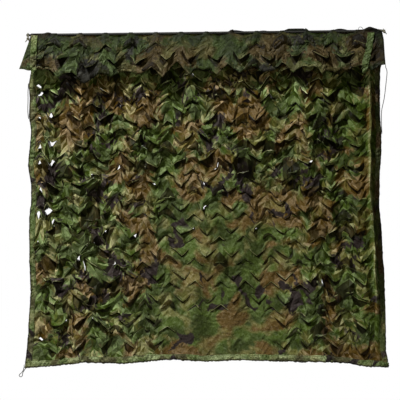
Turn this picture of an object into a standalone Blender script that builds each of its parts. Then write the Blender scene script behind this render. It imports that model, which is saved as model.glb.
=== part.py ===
"""Camouflage net of leaf-cut cloth, hung over a thin rod with its top end falling forward as a flap."""

import math
import random

import bmesh
import bpy
import numpy as np
from mathutils import Vector

# Sizes are in metres. X runs along the rod from its left end, Y to the back, Z up.
GAP = 0.0003
ROD_LENGTH = 1.506
ROD_RADIUS = 0.005
ROD_SIDES = 24
ROD_TILT = math.radians(0.7)

CLOTH = 0.002
TAPE = 0.001
TAPE_WIDTH = 0.026
BUTT = TAPE / 2 + GAP
CORD_RADIUS = 0.0015
TIE_RADIUS = 0.002
WIRE_RADIUS = 0.001

# The cloth turns over the rod in six equal steps, so its chords clear the rod by GAP.
FOLD_STEPS = 6
FOLD_HALF_STEP = math.pi / FOLD_STEPS / 2
FOLD_RADIUS = (ROD_RADIUS + GAP) / math.cos(FOLD_HALF_STEP) + CLOTH / 2

# The leaf cuts: half-hexagon gaps, one in each cell, with the leaf below each leaning out.
CELLS = 14
CELL = 0.1063
FIRST_CELL = 0.048
WIDTH = 2 * FIRST_CELL + (CELLS - 1) * CELL
FOOT = 0.038
EDGE_FOOT = 0.017
SHOULDER = 0.009
EDGE_SHOULDER = 0.006
ROW = 0.097
ROWS = 13
ARM = 0.019
RIPPLE = 0.006
DROP = 1.385
FLAP_ROWS = (0.3, 0.62, 1.0)
FLAP_ARM = 0.1
FLAP_CUT_ROW = 1
FLAP_FLARE = 0.042
# How far the free edge of a leaf stands forward, hangs down and shifts to the side.
LEAF_LEAN = 0.028
LEAF_DROP = 0.007
LEAF_SHIFT = 0.004
LEAF_SWING = (0.5, 1.5)
LEAF_SEED = 11
FLAP_LEAN = 0.014
FLAP_LEAF_DROP = 0.0021
SHADED_DROP = 0.24
SHADED_LEAN = 0.25

# Outline of the hanging cloth with its binding: (z, x) down each side, (x, z) along each lower edge.
MAIN_LEFT = (
    (0.0, 0.019), (-0.155, 0.018), (-0.201, 0.009), (-0.268, 0.013), (-0.339, 0.009),
    (-0.398, 0.019), (-0.545, 0.005), (-0.625, 0.019), (-0.701, 0.018), (-0.764, 0.010),
    (-0.944, 0.011), (-1.074, 0.016), (-1.297, 0.001), (-1.398, -0.010),
)
MAIN_RIGHT = (
    (0.018, 1.491), (-0.060, 1.494), (-0.130, 1.495), (-0.150, 1.488), (-0.350, 1.488), (-0.415, 1.494),
    (-0.505, 1.494), (-0.587, 1.487), (-0.726, 1.485), (-0.831, 1.496), (-0.932, 1.500),
    (-1.003, 1.506), (-1.171, 1.511), (-1.318, 1.511), (-1.396, 1.527),
)
MAIN_HEM = (
    (-0.010, -1.398), (0.090, -1.391), (0.212, -1.379), (0.246, -1.373), (0.395, -1.381),
    (0.540, -1.367), (0.624, -1.362), (0.750, -1.371), (0.888, -1.365), (1.105, -1.371),
    (1.279, -1.372), (1.355, -1.379), (1.413, -1.389), (1.527, -1.396),
)
FLAP_LEFT = ((0.0, 0.019), (-0.040, 0.009), (-0.148, -0.024))
FLAP_RIGHT = ((0.018, 1.492), (-0.020, 1.498), (-0.129, 1.501))
FLAP_HEM = (
    (-0.024, -0.148), (0.018, -0.150), (0.132, -0.152), (0.183, -0.188), (0.283, -0.186),
    (0.345, -0.170), (0.435, -0.167), (0.502, -0.165), (0.645, -0.146), (0.760, -0.152),
    (0.981, -0.146), (1.149, -0.138), (1.300, -0.146), (1.430, -0.138), (1.501, -0.129),
)

# Main folds: centre x and z, half length across, half height, slant in degrees, depth (+ is back).
FOLDS = (
    (0.13, -0.60, 0.035, 0.45, 4, 0.018),
    (0.23, -0.35, 0.045, 0.30, -8, -0.026),
    (0.33, -0.85, 0.040, 0.50, 6, 0.023),
    (0.45, -0.45, 0.050, 0.35, -5, -0.021),
    (0.52, -1.10, 0.050, 0.35, 5, 0.018),
    (0.62, -0.55, 0.045, 0.45, 3, 0.013),
    (0.73, -0.95, 0.050, 0.40, -6, -0.018),
    (0.86, -0.50, 0.120, 0.030, 4, -0.023),
    (1.06, -0.57, 0.090, 0.028, -5, -0.021),
    (0.82, -0.92, 0.100, 0.032, 2, -0.021),
    (0.93, -1.20, 0.050, 0.22, -12, 0.016),
    (0.78, -1.22, 0.040, 0.20, 14, 0.013),
    (1.03, -0.85, 0.050, 0.40, 4, 0.016),
    (1.16, -0.40, 0.045, 0.35, -4, -0.018),
    (1.22, -1.00, 0.050, 0.45, 5, -0.021),
    (1.33, -0.60, 0.040, 0.45, -3, 0.018),
    (1.42, -1.05, 0.040, 0.40, 3, -0.018),
    (0.28, -1.25, 0.070, 0.08, -15, -0.021),
)
FOLD_RAMP = 0.22
FOLD_RAMP_POWER = 1.5
LEFT_CURL = 0.010
RIGHT_CURL = 0.024
CURL_WIDTH = 0.060
# Waves across the flap: length, depth, phase in radians.
FLAP_WAVES = ((0.31, 0.010, 2.79), (0.17, 0.006, 1.53))

# Stretches of whole cloth with no open cuts: first and last cell, first and last row.
WHOLE_MAIN = ((5, 9, 12, 13),)
WHOLE_FLAP = ((0, 0), (5, 7), (13, 13))
OPEN_CREST = range(1, CELLS - 1)

# The tapes laid down the flap, each with a free end below the hem.
FLAP_TAPE_STATIONS = 7
FLAP_TAPE_LEFT_WIDTH = 0.026
FLAP_TAPE_LEFT_LIFT = 0.0032
FLAP_TAPE_RIGHT_WIDTH = 0.023
FLAP_TAPE_RIGHT_LIFT = 0.0026
# The middle of each: (share of the flap's length, x).
FLAP_TAPE_LEFT = ((0.03, 0.0345), (0.5, 0.0335), (1.12, 0.0320))
FLAP_TAPE_RIGHT = ((0.06, 1.4460), (0.5, 1.4340), (1.20, 1.4080))

# Routes of the cords, as points that a smooth curve passes through. Their spacing is in cord radii.
ROUTE_SPACING = 5
# Each edge cord stands free of the side binding: (distance down the cloth, how far it stands out).
EDGE_CORD_LEFT = (
    (0.200, 0.0), (0.212, 0.0003), (0.237, 0.0035), (0.270, 0.0050), (0.312, 0.0035),
    (0.337, 0.0003), (0.349, 0.0),
)
EDGE_CORD_RIGHT_END = ((0.330, 0.0045), (0.385, 0.0010), (0.410, 0.0), (0.425, 0.0))
# The right cord first falls from the flap's corner: offsets from that corner.
CORNER_CLEARANCE = 2 * GAP
EDGE_CORD_RIGHT_START = (
    (0.0005, 0.0020, -0.0110), (0.0070, 0.0090, -0.0290), (0.0050, 0.0250, -0.0740),
    (-0.0005, 0.0400, -0.1350),
)
# The ties: a turn of cord round the rod, then each free end's points from the turn outwards.
TURN_STEPS = 12
TURN_PITCH = 2 * TIE_RADIUS + 2 * GAP
TIE_TURN_RADIUS = (ROD_RADIUS + GAP + TIE_RADIUS) / math.cos(math.pi / TURN_STEPS)
TIE_LEFT_X = 0.005
TIE_LEFT_ENDS = (
    ((0.0047, -0.0082, -0.010), (0.0030, -0.0075, -0.020), (-0.0040, -0.0060, -0.0300)),
    ((0.0100, -0.0082, -0.010), (0.0110, -0.0075, -0.020), (0.0130, -0.0065, -0.0320)),
)
TIE_LEFT_KNOT = (0.0073, -0.0080, -0.0165)
TIE_RIGHT_X = 1.4975
TIE_RIGHT_ENDS = (
    ((1.4955, -0.0120, 0.0165), (1.4870, -0.0125, 0.0195), (1.4780, -0.0122, 0.0220)),
    ((1.5045, -0.0085, 0.0120), (1.5080, -0.0075, 0.0080), (1.5110, -0.0070, 0.0030)),
)
TIE_RIGHT_KNOT = (1.5005, -0.0125, 0.0130)
KNOT_RADIUS = 0.0068
# The wire tie arches over the crest: (x, angle from the top in degrees, height above its seat).
WIRE_SEAT = FOLD_RADIUS + CLOTH / 2 + GAP + WIRE_RADIUS
TWIST_TIE = (
    (1.3915, -65, 0.0), (1.3930, -45, 0.0020), (1.3960, -20, 0.0065), (1.4010, 0, 0.0085),
    (1.4080, 12, 0.0075), (1.4130, 35, 0.0040), (1.4150, 62, 0.0),
)
# The loop at the lower left corner: offsets from the cloth's corner. Its ends lie along the two bound edges.
CORD_SEAT = TAPE + 2 * GAP + CORD_RADIUS
CORNER_LOOP = (
    (-CORD_SEAT, 0.0, 0.0120), (-CORD_SEAT, 0.0, 0.0040), (-0.0095, 0.0, -0.0090), (-0.0215, 0.0, -0.0230),
    (-0.0250, 0.0, -0.0330), (-0.0190, 0.0, -0.0390), (-0.0120, 0.0, -0.0340), (-0.0070, 0.0, -0.0200),
    (-0.0010, 0.0, -0.0060), (0.0060, 0.0, -0.0022), (0.0140, 0.0, -0.0014),
)

# Finishes: colour in linear light, roughness.
CLOTH_FINISH = ((0.10, 0.13, 0.07), 0.7)
TAPE_FINISH = ((0.16, 0.22, 0.10), 0.65)
DARK_CORD_FINISH = ((0.03, 0.03, 0.03), 0.8)
KHAKI_CORD_FINISH = ((0.20, 0.20, 0.15), 0.8)
ROD_FINISH = ((0.02, 0.02, 0.02), 0.5)


def clear_scene():
    for thing in list(bpy.data.objects):
        bpy.data.objects.remove(thing, do_unlink=True)


def finish(name, colour, roughness):
    material = bpy.data.materials.new(name)
    material.use_nodes = True
    shader = material.node_tree.nodes["Principled BSDF"]
    shader.inputs["Base Color"].default_value = (*colour, 1.0)
    shader.inputs["Roughness"].default_value = roughness
    return material


def add_object(name, data, material):
    thing = bpy.data.objects.new(name, data)
    bpy.context.scene.collection.objects.link(thing)
    data.materials.append(material)
    return thing


def along(table, value):
    """Straight-line reading of a table whose first column may run either way."""
    first, second = np.array(table).T
    if first[0] > first[-1]:
        first, second = first[::-1], second[::-1]
    return float(np.interp(value, first, second))


def axis_height(x):
    return x * math.tan(ROD_TILT)


def fold_depth(x, z):
    """How far the folds set the cloth back from its plain hang."""
    depth = 0.0
    for centre_x, centre_z, half_length, half_height, slant, size in FOLDS:
        turn = math.radians(slant)
        across = (x - centre_x) * math.cos(turn) + (z - centre_z) * math.sin(turn)
        up = (z - centre_z) * math.cos(turn) - (x - centre_x) * math.sin(turn)
        depth += size * math.exp(-((across / half_length) ** 2) - (up / half_height) ** 2)
    return depth


def curl_depth(u):
    left = max(0.0, 1 - u * WIDTH / CURL_WIDTH)
    right = max(0.0, 1 - (1 - u) * WIDTH / CURL_WIDTH)
    return LEFT_CURL * left**2 + RIGHT_CURL * right**2


def between_edges(u, z):
    """The cloth's edges lie inside the outline by the thickness of the binding."""
    left = along(MAIN_LEFT, z) + TAPE + GAP
    right = along(MAIN_RIGHT, z) - TAPE - GAP
    return (1 - u) * left + u * right


def main_point(u, down):
    share = down / DROP
    x = between_edges(u, -down)
    hem = along(MAIN_HEM, x) + TAPE + GAP
    z = (1 - share) * axis_height(x) + share * hem
    ramp = min(1.0, down / FOLD_RAMP) ** FOLD_RAMP_POWER
    y = FOLD_RADIUS + ramp * (fold_depth(x, z) + curl_depth(u))
    return Vector((x, y, z))


def crest_point(u, angle):
    x = between_edges(u, 0.0)
    y = FOLD_RADIUS * math.sin(angle)
    z = axis_height(x) + FOLD_RADIUS * math.cos(angle)
    return Vector((x, y, z))


def flap_point(u, share):
    end_x = (1 - u) * FLAP_LEFT[-1][1] + u * FLAP_RIGHT[-1][1]
    z = (1 - share) * axis_height(end_x) + share * along(FLAP_HEM, end_x)
    x = (1 - u) * along(FLAP_LEFT, z) + u * along(FLAP_RIGHT, z)
    waves = sum(depth * math.sin(math.tau * x / length + phase) for length, depth, phase in FLAP_WAVES)
    y = -FOLD_RADIUS - share * (FLAP_FLARE + waves)
    return Vector((x, y, z))


def flap_point_at(x, share):
    """The flap's point at this x, found by moving u towards it."""
    u = x / WIDTH
    for _ in range(5):
        u += (x - flap_point(u, share).x) / WIDTH
    return flap_point(u, share)


def cell_columns():
    """Across the cloth: (u, role, cell). Role is 1 at the foot of a cut, -1 at its shoulder, 0 elsewhere."""
    columns = [(0.0, 0, None), (TAPE_WIDTH / WIDTH, 0, None)]
    for cell in range(CELLS):
        centre = FIRST_CELL + cell * CELL
        left = EDGE_FOOT if cell == 0 else FOOT
        right = EDGE_FOOT if cell == CELLS - 1 else FOOT
        shoulder = EDGE_SHOULDER if cell in (0, CELLS - 1) else SHOULDER
        for offset, role in ((-left, 1), (-shoulder, -1), (shoulder, -1), (right, 1)):
            columns.append(((centre + offset) / WIDTH, role, cell))
    columns.append((1 - TAPE_WIDTH / WIDTH, 0, None))
    columns.append((1.0, 0, None))
    return columns


def cloth_rows():
    """From the flap's hem over the rod to the lower hem: (leg, distance, zigzag, cut row number)."""
    rows = []
    for number in reversed(range(len(FLAP_ROWS))):
        is_cut = number == FLAP_CUT_ROW
        rows.append(("flap", FLAP_ROWS[number], FLAP_ARM if is_cut else 0.0, 0 if is_cut else None))
    for step in range(FOLD_STEPS + 1):
        rows.append(("crest", -math.pi / 2 + step * math.pi / FOLD_STEPS, 0.0, None))
    for number in range(ROWS):
        rows.append(("main", (number + 0.5) * ROW, RIPPLE if number else 0.0, None))
        rows.append(("main", (number + 1) * ROW, ARM, number + 1))
    rows.append(("main", (ROWS + 0.5) * ROW, RIPPLE, None))
    rows.append(("main", DROP - TAPE_WIDTH, 0.0, None))
    rows.append(("main", DROP, 0.0, None))
    return rows


def place(row, column):
    leg, distance, zigzag, _ = row
    u, role, _ = column
    if leg == "main":
        return main_point(u, distance + role * zigzag)
    if leg == "crest":
        return crest_point(u, distance)
    return flap_point(u, distance - role * zigzag)


def is_whole(leg, cell, number):
    if leg == "flap":
        return any(first <= cell <= last for first, last in WHOLE_FLAP)
    return any(a <= cell <= b and c <= number <= d for a, b, c, d in WHOLE_MAIN)


def leaf_offset(row, chance):
    """How far the free edge of a leaf stands out of its cut."""
    leg, distance, _, _ = row
    swing = chance.uniform(*LEAF_SWING)
    side = chance.uniform(-LEAF_SHIFT, LEAF_SHIFT)
    if leg == "flap":
        return Vector((side, -FLAP_LEAN * swing, FLAP_LEAF_DROP))
    lean = LEAF_LEAN * (SHADED_LEAN if distance < SHADED_DROP else swing)
    return Vector((side, -lean, -LEAF_DROP * swing))


def cloth_grid():
    """Points of the cloth's middle surface, with a second point at each free shoulder of a leaf."""
    chance = random.Random(LEAF_SEED)
    rows, columns = cloth_rows(), cell_columns()
    points = [[place(row, column) for column in columns] for row in rows]
    leaves = {}
    for i, row in enumerate(rows):
        number = row[3]
        if number is None:
            continue
        for j, (_, role, cell) in enumerate(columns):
            if role == -1 and not is_whole(row[0], cell, number):
                leaves[i, j] = points[i][j] + leaf_offset(row, chance)
    return rows, columns, points, leaves


def crest_is_open(rows, columns, i, j):
    """The cuts along the crest leave the rod bare between the strips that cross it."""
    crest_rows = [k for k, row in enumerate(rows) if row[0] == "crest"]
    cell = columns[j][2]
    in_cut = cell in OPEN_CREST and columns[j + 1][2] == cell
    return in_cut and crest_rows[0] < i < crest_rows[-1] - 1


def build_net(rows, columns, points, leaves):
    """One cloth, with a leaf-shaped gap at each cut. Returns its middle surface and the normals there."""
    surface = bmesh.new()
    fixed = [[surface.verts.new(point) for point in line] for line in points]
    free = {key: surface.verts.new(point) for key, point in leaves.items()}
    for i in range(len(rows) - 1):
        for j in range(len(columns) - 1):
            if crest_is_open(rows, columns, i, j):
                continue
            upper = [free.get((i, k), fixed[i][k]) for k in (j, j + 1)]
            surface.faces.new((upper[1], upper[0], fixed[i + 1][j], fixed[i + 1][j + 1]))
    loose = [vert for vert in surface.verts if not vert.link_faces]
    bmesh.ops.delete(surface, geom=loose, context="VERTS")
    surface.normal_update()
    normals = [[vert.normal.copy() if vert.is_valid else None for vert in line] for line in fixed]
    bmesh.ops.triangulate(surface, faces=surface.faces)
    mesh = bpy.data.meshes.new("net")
    surface.to_mesh(mesh)
    surface.free()
    return mesh, normals


def thicken(thing, thickness):
    solid = thing.modifiers.new("thickness", "SOLIDIFY")
    solid.thickness = thickness
    solid.offset = 0.0


def strip_mesh(name, lines):
    """A sheet through equal lines of points."""
    surface = bmesh.new()
    verts = [[surface.verts.new(point) for point in line] for line in lines]
    for here, after in zip(verts, verts[1:]):
        for k in range(len(here) - 1):
            surface.faces.new((here[k], here[k + 1], after[k + 1], after[k]))
    bmesh.ops.triangulate(surface, faces=surface.faces)
    mesh = bpy.data.meshes.new(name)
    surface.to_mesh(mesh)
    surface.free()
    return mesh


def folded_tape(edge, inner, edge_normal, inner_normal):
    """One station of a binding: over the front of the edge, round it and along the back."""
    lift = CLOTH / 2 + GAP + TAPE / 2
    out = (edge - inner).normalized() * (GAP + TAPE / 2)
    front = [inner + inner_normal * lift, edge + out + edge_normal * lift]
    back = [edge + out - edge_normal * lift, inner - inner_normal * lift]
    return front + back


def side_binding(name, points, normals, rows, edge, inner, material):
    lines = []
    for i, row in enumerate(rows):
        if row[0] == "main":
            here, normal = points[i], normals[i]
            lines.append(folded_tape(here[edge], here[inner], normal[edge], normal[inner]))
    tape = add_object(name, strip_mesh(name, lines), material)
    thicken(tape, TAPE)


def bottom_binding(points, normals, material):
    hem, inner = points[-1], points[-2]
    stations = range(1, len(hem) - 1)
    lines = [folded_tape(hem[j], inner[j], normals[-1][j], normals[-2][j]) for j in stations]
    for end, beside in ((0, 1), (-1, -2)):
        pairs = zip(lines[end], lines[beside])
        lines[end] = [point.lerp(other, BUTT / (other - point).length) for point, other in pairs]
    tape = add_object("binding_bottom", strip_mesh("binding_bottom", lines), material)
    thicken(tape, TAPE)


def flap_tape(name, route, width, lift, material):
    """Tape laid down the face of the flap, its middle on the route."""
    first, last = route[0][0], route[-1][0]
    forward = Vector((0.0, -lift, 0.0))
    lines = []
    for station in range(FLAP_TAPE_STATIONS + 1):
        share = first + (last - first) * station / FLAP_TAPE_STATIONS
        middle = along(route, share)
        across = (middle + width / 2, middle, middle - width / 2)
        lines.append([flap_point_at(x, share) + forward for x in across])
    tape = add_object(name, strip_mesh(name, lines), material)
    thicken(tape, TAPE)


def smooth_route(anchors, spacing):
    """Points about this far apart on a Catmull-Rom curve through the anchors."""
    anchors = [Vector(point) for point in anchors]
    ends = [2 * anchors[0] - anchors[1], *anchors, 2 * anchors[-1] - anchors[-2]]
    route = [anchors[0]]
    for before, start, stop, after in zip(ends, ends[1:], ends[2:], ends[3:]):
        steps = max(1, round((stop - start).length / spacing))
        for step in range(1, steps + 1):
            t = step / steps
            tangent = (stop - before) * t + (2 * before - 5 * start + 4 * stop - after) * t**2
            tangent += (3 * start - before - 3 * stop + after) * t**3
            route.append(start + tangent / 2)
    return route


def cord(name, anchors, radius, material):
    route = smooth_route(anchors, ROUTE_SPACING * radius)
    curve = bpy.data.curves.new(name, "CURVE")
    curve.dimensions = "3D"
    curve.bevel_depth = radius
    curve.bevel_resolution = 2
    curve.use_fill_caps = True
    spline = curve.splines.new("POLY")
    spline.points.add(len(route) - 1)
    for point, position in zip(spline.points, route):
        point.co = (*position, 1.0)
    return add_object(name, curve, material)


def turn_round_rod(x):
    """A full turn of cord from the front of the rod, over its top, and back to the front."""
    turn = []
    for step in range(TURN_STEPS + 1):
        angle = math.tau * step / TURN_STEPS
        shift = x + TURN_PITCH * step / TURN_STEPS
        y = -TIE_TURN_RADIUS * math.cos(angle)
        z = TIE_TURN_RADIUS * math.sin(angle)
        turn.append(Vector((shift, y, axis_height(shift) + z)))
    return turn


def tie(name, x, ends, knot, material):
    """One length of cord round the rod, its two ends held by a round knot."""
    first, second = ends
    cord_piece = cord(name, [*reversed(first), *turn_round_rod(x), *second], TIE_RADIUS, material)
    mesh = bpy.data.meshes.new_from_object(cord_piece.evaluated_get(bpy.context.evaluated_depsgraph_get()))
    bpy.data.objects.remove(cord_piece)
    bead_mesh = bpy.data.meshes.new(name + "_knot")
    surface = bmesh.new()
    bmesh.ops.create_icosphere(surface, subdivisions=2, radius=KNOT_RADIUS)
    surface.to_mesh(bead_mesh)
    surface.free()
    bead = add_object(name + "_knot", bead_mesh, material)
    bead.location = knot
    bead.hide_render = True
    bead.display_type = "WIRE"
    tied = add_object(name, mesh, material)
    union = tied.modifiers.new("knot", "BOOLEAN")
    union.operation = "UNION"
    union.object = bead


def beside_binding(u, down, out):
    """The middle of a cord that lies this far outside the binding of a side edge."""
    side = -1 if u == 0 else 1
    return main_point(u, down) + Vector((side * (CORD_SEAT + out), 0, 0))


def build_edge_cords(material):
    left = [beside_binding(0, down, out) for down, out in EDGE_CORD_LEFT]
    cord("edge_cord_left", left, CORD_RADIUS, material)
    corner = flap_point(1, 1)
    fall = (corner - flap_point(1, FLAP_ROWS[FLAP_CUT_ROW])).normalized()
    right = [corner + fall * CORNER_CLEARANCE]
    right += [corner + Vector(offset) for offset in EDGE_CORD_RIGHT_START]
    right += [beside_binding(1, down, out) for down, out in EDGE_CORD_RIGHT_END]
    cord("edge_cord_right", right, CORD_RADIUS, material)


def build_corner_loop(material):
    corner = main_point(0, DROP)
    cord("corner_loop", [corner + Vector(offset) for offset in CORNER_LOOP], CORD_RADIUS, material)


def build_twist_tie(material):
    arch = []
    for x, degrees, lift in TWIST_TIE:
        angle = math.radians(degrees)
        reach = WIRE_SEAT + lift
        arch.append(Vector((x, reach * math.sin(angle), axis_height(x) + reach * math.cos(angle))))
    cord("twist_tie", arch, WIRE_RADIUS, material)


def build_rod(material):
    mesh = bpy.data.meshes.new("rod")
    surface = bmesh.new()
    bmesh.ops.create_cone(
        surface,
        cap_ends=True,
        segments=ROD_SIDES,
        radius1=ROD_RADIUS,
        radius2=ROD_RADIUS,
        depth=ROD_LENGTH,
    )
    surface.to_mesh(mesh)
    surface.free()
    rod = add_object("rod", mesh, material)
    rod.rotation_euler = (0.0, math.pi / 2 - ROD_TILT, 0.0)
    rod.location = Vector((math.cos(ROD_TILT), 0, math.sin(ROD_TILT))) * ROD_LENGTH / 2
    return rod


def main():
    clear_scene()
    cloth = finish("camouflage_cloth", *CLOTH_FINISH)
    tape = finish("binding_tape", *TAPE_FINISH)
    line = finish("dark_cord", *DARK_CORD_FINISH)
    khaki = finish("khaki_cord", *KHAKI_CORD_FINISH)
    steel = finish("dark_rod", *ROD_FINISH)

    rows, columns, points, leaves = cloth_grid()
    mesh, normals = build_net(rows, columns, points, leaves)
    net = add_object("net", mesh, cloth)
    thicken(net, CLOTH)

    last = len(columns) - 1
    side_binding("binding_left", points, normals, rows, 0, 1, tape)
    side_binding("binding_right", points, normals, rows, last, last - 1, tape)
    bottom_binding(points, normals, tape)
    flap_tape("flap_tape_left", FLAP_TAPE_LEFT, FLAP_TAPE_LEFT_WIDTH, FLAP_TAPE_LEFT_LIFT, tape)
    flap_tape("flap_tape_right", FLAP_TAPE_RIGHT, FLAP_TAPE_RIGHT_WIDTH, FLAP_TAPE_RIGHT_LIFT, tape)
    build_rod(steel)
    build_edge_cords(line)
    build_corner_loop(khaki)
    build_twist_tie(line)
    tie("tie_left", TIE_LEFT_X, TIE_LEFT_ENDS, TIE_LEFT_KNOT, khaki)
    tie("tie_right", TIE_RIGHT_X, TIE_RIGHT_ENDS, TIE_RIGHT_KNOT, khaki)


main()
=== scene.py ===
"""Camouflage net of leaf-cut cloth that hangs over a thin rod, with its top end falling forward as a flap."""

import math
import random
from dataclasses import dataclass

import bpy
import numpy as np
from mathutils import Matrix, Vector, noise


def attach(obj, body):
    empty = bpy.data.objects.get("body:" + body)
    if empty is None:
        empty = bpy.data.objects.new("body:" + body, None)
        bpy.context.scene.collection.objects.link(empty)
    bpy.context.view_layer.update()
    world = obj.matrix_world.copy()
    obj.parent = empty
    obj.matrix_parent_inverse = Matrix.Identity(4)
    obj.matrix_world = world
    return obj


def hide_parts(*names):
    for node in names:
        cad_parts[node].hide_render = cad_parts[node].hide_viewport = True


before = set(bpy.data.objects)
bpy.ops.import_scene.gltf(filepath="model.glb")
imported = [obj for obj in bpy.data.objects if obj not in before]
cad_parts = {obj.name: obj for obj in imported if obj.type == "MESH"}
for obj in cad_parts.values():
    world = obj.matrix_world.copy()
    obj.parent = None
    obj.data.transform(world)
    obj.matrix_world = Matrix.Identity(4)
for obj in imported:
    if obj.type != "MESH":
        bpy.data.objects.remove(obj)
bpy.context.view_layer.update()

# Sizes are in metres. X runs along the rod from its left end, Y to the back, Z up.
GAP = 0.0003
HALF_CLOTH = 0.001
ROD_RADIUS = 0.005
ROD_TILT = math.radians(0.7)
# The solid cloth turns over the rod in steps of 30 degrees, and so do the ties.
CHORD = math.cos(math.pi / 12)
FOLD_RADIUS = (ROD_RADIUS + GAP) / CHORD + HALF_CLOTH
DROP = 1.385
EDGE_INSET = 0.0013
CLOTH = 0.0005

# The cloth's grid follows its cuts: STEPS columns to a cell, REPEAT rows to a repeat of the rows.
FIRST_CELL = 0.048
CELLS = 14
CELL = 0.1063
STEPS = 14
HALF_CELL = STEPS // 2
REPEAT = 12
HALF_REPEAT = REPEAT // 2
STEP_X = CELL / STEPS
STEP_Z = 0.097 / REPEAT
WIDTH = 2 * FIRST_CELL + (CELLS - 1) * CELL
EDGE_COLUMNS = (0.0, 0.0084, 0.0168)
FIRST_STEP = 4
LAST_STEP = 192
# The hanging cloth is whole from here to its right edge.
LAST_CUT = 186
MAIN_ROWS = 171
FLAP_ROWS = 19
CREST_ANGLES = (-60, -30, 0, 30, 60)
# Half the width that each band over the crest leaves open in front, in columns, from the flap's first row back.
CREST_GAPS = (4.6, 5.6, 5.9, 5.9, 5.6, 0.0, 0.0)
# How far the rows of cuts rise and fall, and how steep their arms are. A cut runs HALF_CUT columns to each side.
ZIGZAG = 0.0235
ARM_SLOPE = 1.06
HALF_CUT = 5
# Over these distances from the rod and from the hem the rows run level.
ROD_TAPER, HEM_TAPER, FLAP_TAPER = 0.048, 0.060, 0.040

# Outline of the hanging cloth with its binding: (z, x) down each side, (x, z) along each lower edge.
MAIN_LEFT = (
    (0.0, 0.019), (-0.155, 0.018), (-0.201, 0.009), (-0.268, 0.013), (-0.339, 0.009),
    (-0.398, 0.019), (-0.545, 0.005), (-0.625, 0.019), (-0.701, 0.018), (-0.764, 0.010),
    (-0.944, 0.011), (-1.074, 0.016), (-1.297, 0.001), (-1.398, -0.010),
)
MAIN_RIGHT = (
    (0.018, 1.491), (-0.060, 1.494), (-0.130, 1.495), (-0.150, 1.488), (-0.350, 1.488), (-0.415, 1.494),
    (-0.505, 1.494), (-0.587, 1.487), (-0.726, 1.485), (-0.831, 1.496), (-0.932, 1.500),
    (-1.003, 1.506), (-1.171, 1.511), (-1.318, 1.511), (-1.396, 1.527),
)
MAIN_HEM = (
    (-0.010, -1.398), (0.090, -1.391), (0.212, -1.379), (0.246, -1.373), (0.395, -1.381),
    (0.540, -1.367), (0.624, -1.362), (0.750, -1.371), (0.888, -1.365), (1.105, -1.371),
    (1.279, -1.372), (1.355, -1.379), (1.413, -1.389), (1.527, -1.396),
)
FLAP_LEFT = ((0.0, 0.019), (-0.040, 0.009), (-0.148, -0.024))
FLAP_RIGHT = ((0.018, 1.492), (-0.020, 1.498), (-0.129, 1.501))
FLAP_HEM = (
    (-0.024, -0.148), (0.018, -0.150), (0.132, -0.152), (0.183, -0.188), (0.283, -0.186),
    (0.345, -0.170), (0.435, -0.167), (0.502, -0.165), (0.645, -0.146), (0.760, -0.152),
    (0.981, -0.146), (1.149, -0.138), (1.300, -0.146), (1.430, -0.138), (1.501, -0.129),
)
FLAP_LENGTH = 0.155
# Along its hem the leaves are of uneven length: how much they count, from where on, and the range of lengths.
HEM_LEAVES, HEM_START, HEM_SPAN = 0.95, 0.62, 0.3
HEM_LENGTHS = (-0.15, 1.35)
FLAP_FLARE = 0.042
# Waves in the flap: (length, depth, where they start).
FLAP_WAVES = ((0.31, 0.010, 2.79), (0.17, 0.006, 1.53))
FLAP_RAMP = 0.35
FLAP_CREASING = 0.7
# Over the rod the cloth stands up in places: how far, and how long the places are.
PUFF = 0.0130
PUFF_LENGTH = 0.090
PUFF_SLOPE, PUFF_START = 3, 0.35

# Main folds: centre x and z, half length across, half height, slant in degrees, depth (+ is back).
FOLDS = (
    (0.13, -0.60, 0.035, 0.45, 4, 0.018),
    (0.23, -0.35, 0.045, 0.30, -8, -0.021),
    (0.33, -0.85, 0.040, 0.50, 6, 0.018),
    (0.45, -0.45, 0.050, 0.35, -5, -0.017),
    (0.52, -1.10, 0.050, 0.35, 5, 0.016),
    (0.62, -0.55, 0.045, 0.45, 3, 0.013),
    (0.73, -0.95, 0.050, 0.40, -6, -0.018),
    (0.86, -0.50, 0.120, 0.030, 4, -0.023),
    (1.06, -0.57, 0.090, 0.028, -5, -0.021),
    (0.82, -0.92, 0.100, 0.032, 2, -0.021),
    (0.93, -1.20, 0.050, 0.22, -12, 0.016),
    (0.78, -1.22, 0.040, 0.20, 14, 0.013),
    (1.03, -0.85, 0.050, 0.40, 4, 0.016),
    (1.16, -0.40, 0.045, 0.35, -4, -0.018),
    (1.22, -1.00, 0.050, 0.45, 5, -0.021),
    (1.33, -0.60, 0.040, 0.45, -3, 0.018),
    (1.42, -1.05, 0.040, 0.40, 3, -0.018),
    (0.28, -1.25, 0.070, 0.08, -15, -0.021),
)
FOLD_RAMP = 0.22
# Where the cloth is held it lies flatter: (how far that reaches, least share of its creases).
SIDE_CALM, HEM_CALM, ROD_CALM = (0.050, 0.18), (0.060, 0.3), (0.10, 0.0)
SIDE_HOLD = 0.080
LEFT_CURL = 0.010
CURL_WIDTH = 0.060
# The right edge turns back from a soft ridge: (z, how far the ridge is from the edge).
RIGHT_RIDGE = ((-1.30, 0.036), (-0.80, 0.042), (-0.60, 0.048), (-0.20, 0.054), (0.0, 0.054))
RIGHT_CURL = 0.030
RIDGE_LIFT, RIDGE_WIDTH = 0.014, 0.0105
# The curl fades out downwards: where it would end, over what height, and the share that is left.
CURL_END, CURL_FADE, CURL_REST = 1.42, 0.40, 0.3
EDGE_SHADE, SHADE_REACH = 0.22, 0.006
# The ridge gets a painted highlight: by what share, how wide, how unevenly, over what length, and how much lighter it
# is.
RIDGE_HIGHLIGHT, HIGHLIGHT_WIDTH, HIGHLIGHT_SPREAD, HIGHLIGHT_LENGTH, HIGHLIGHT_TONE = 0.72, 0.0115, 0.35, 0.09, 0.2
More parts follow.
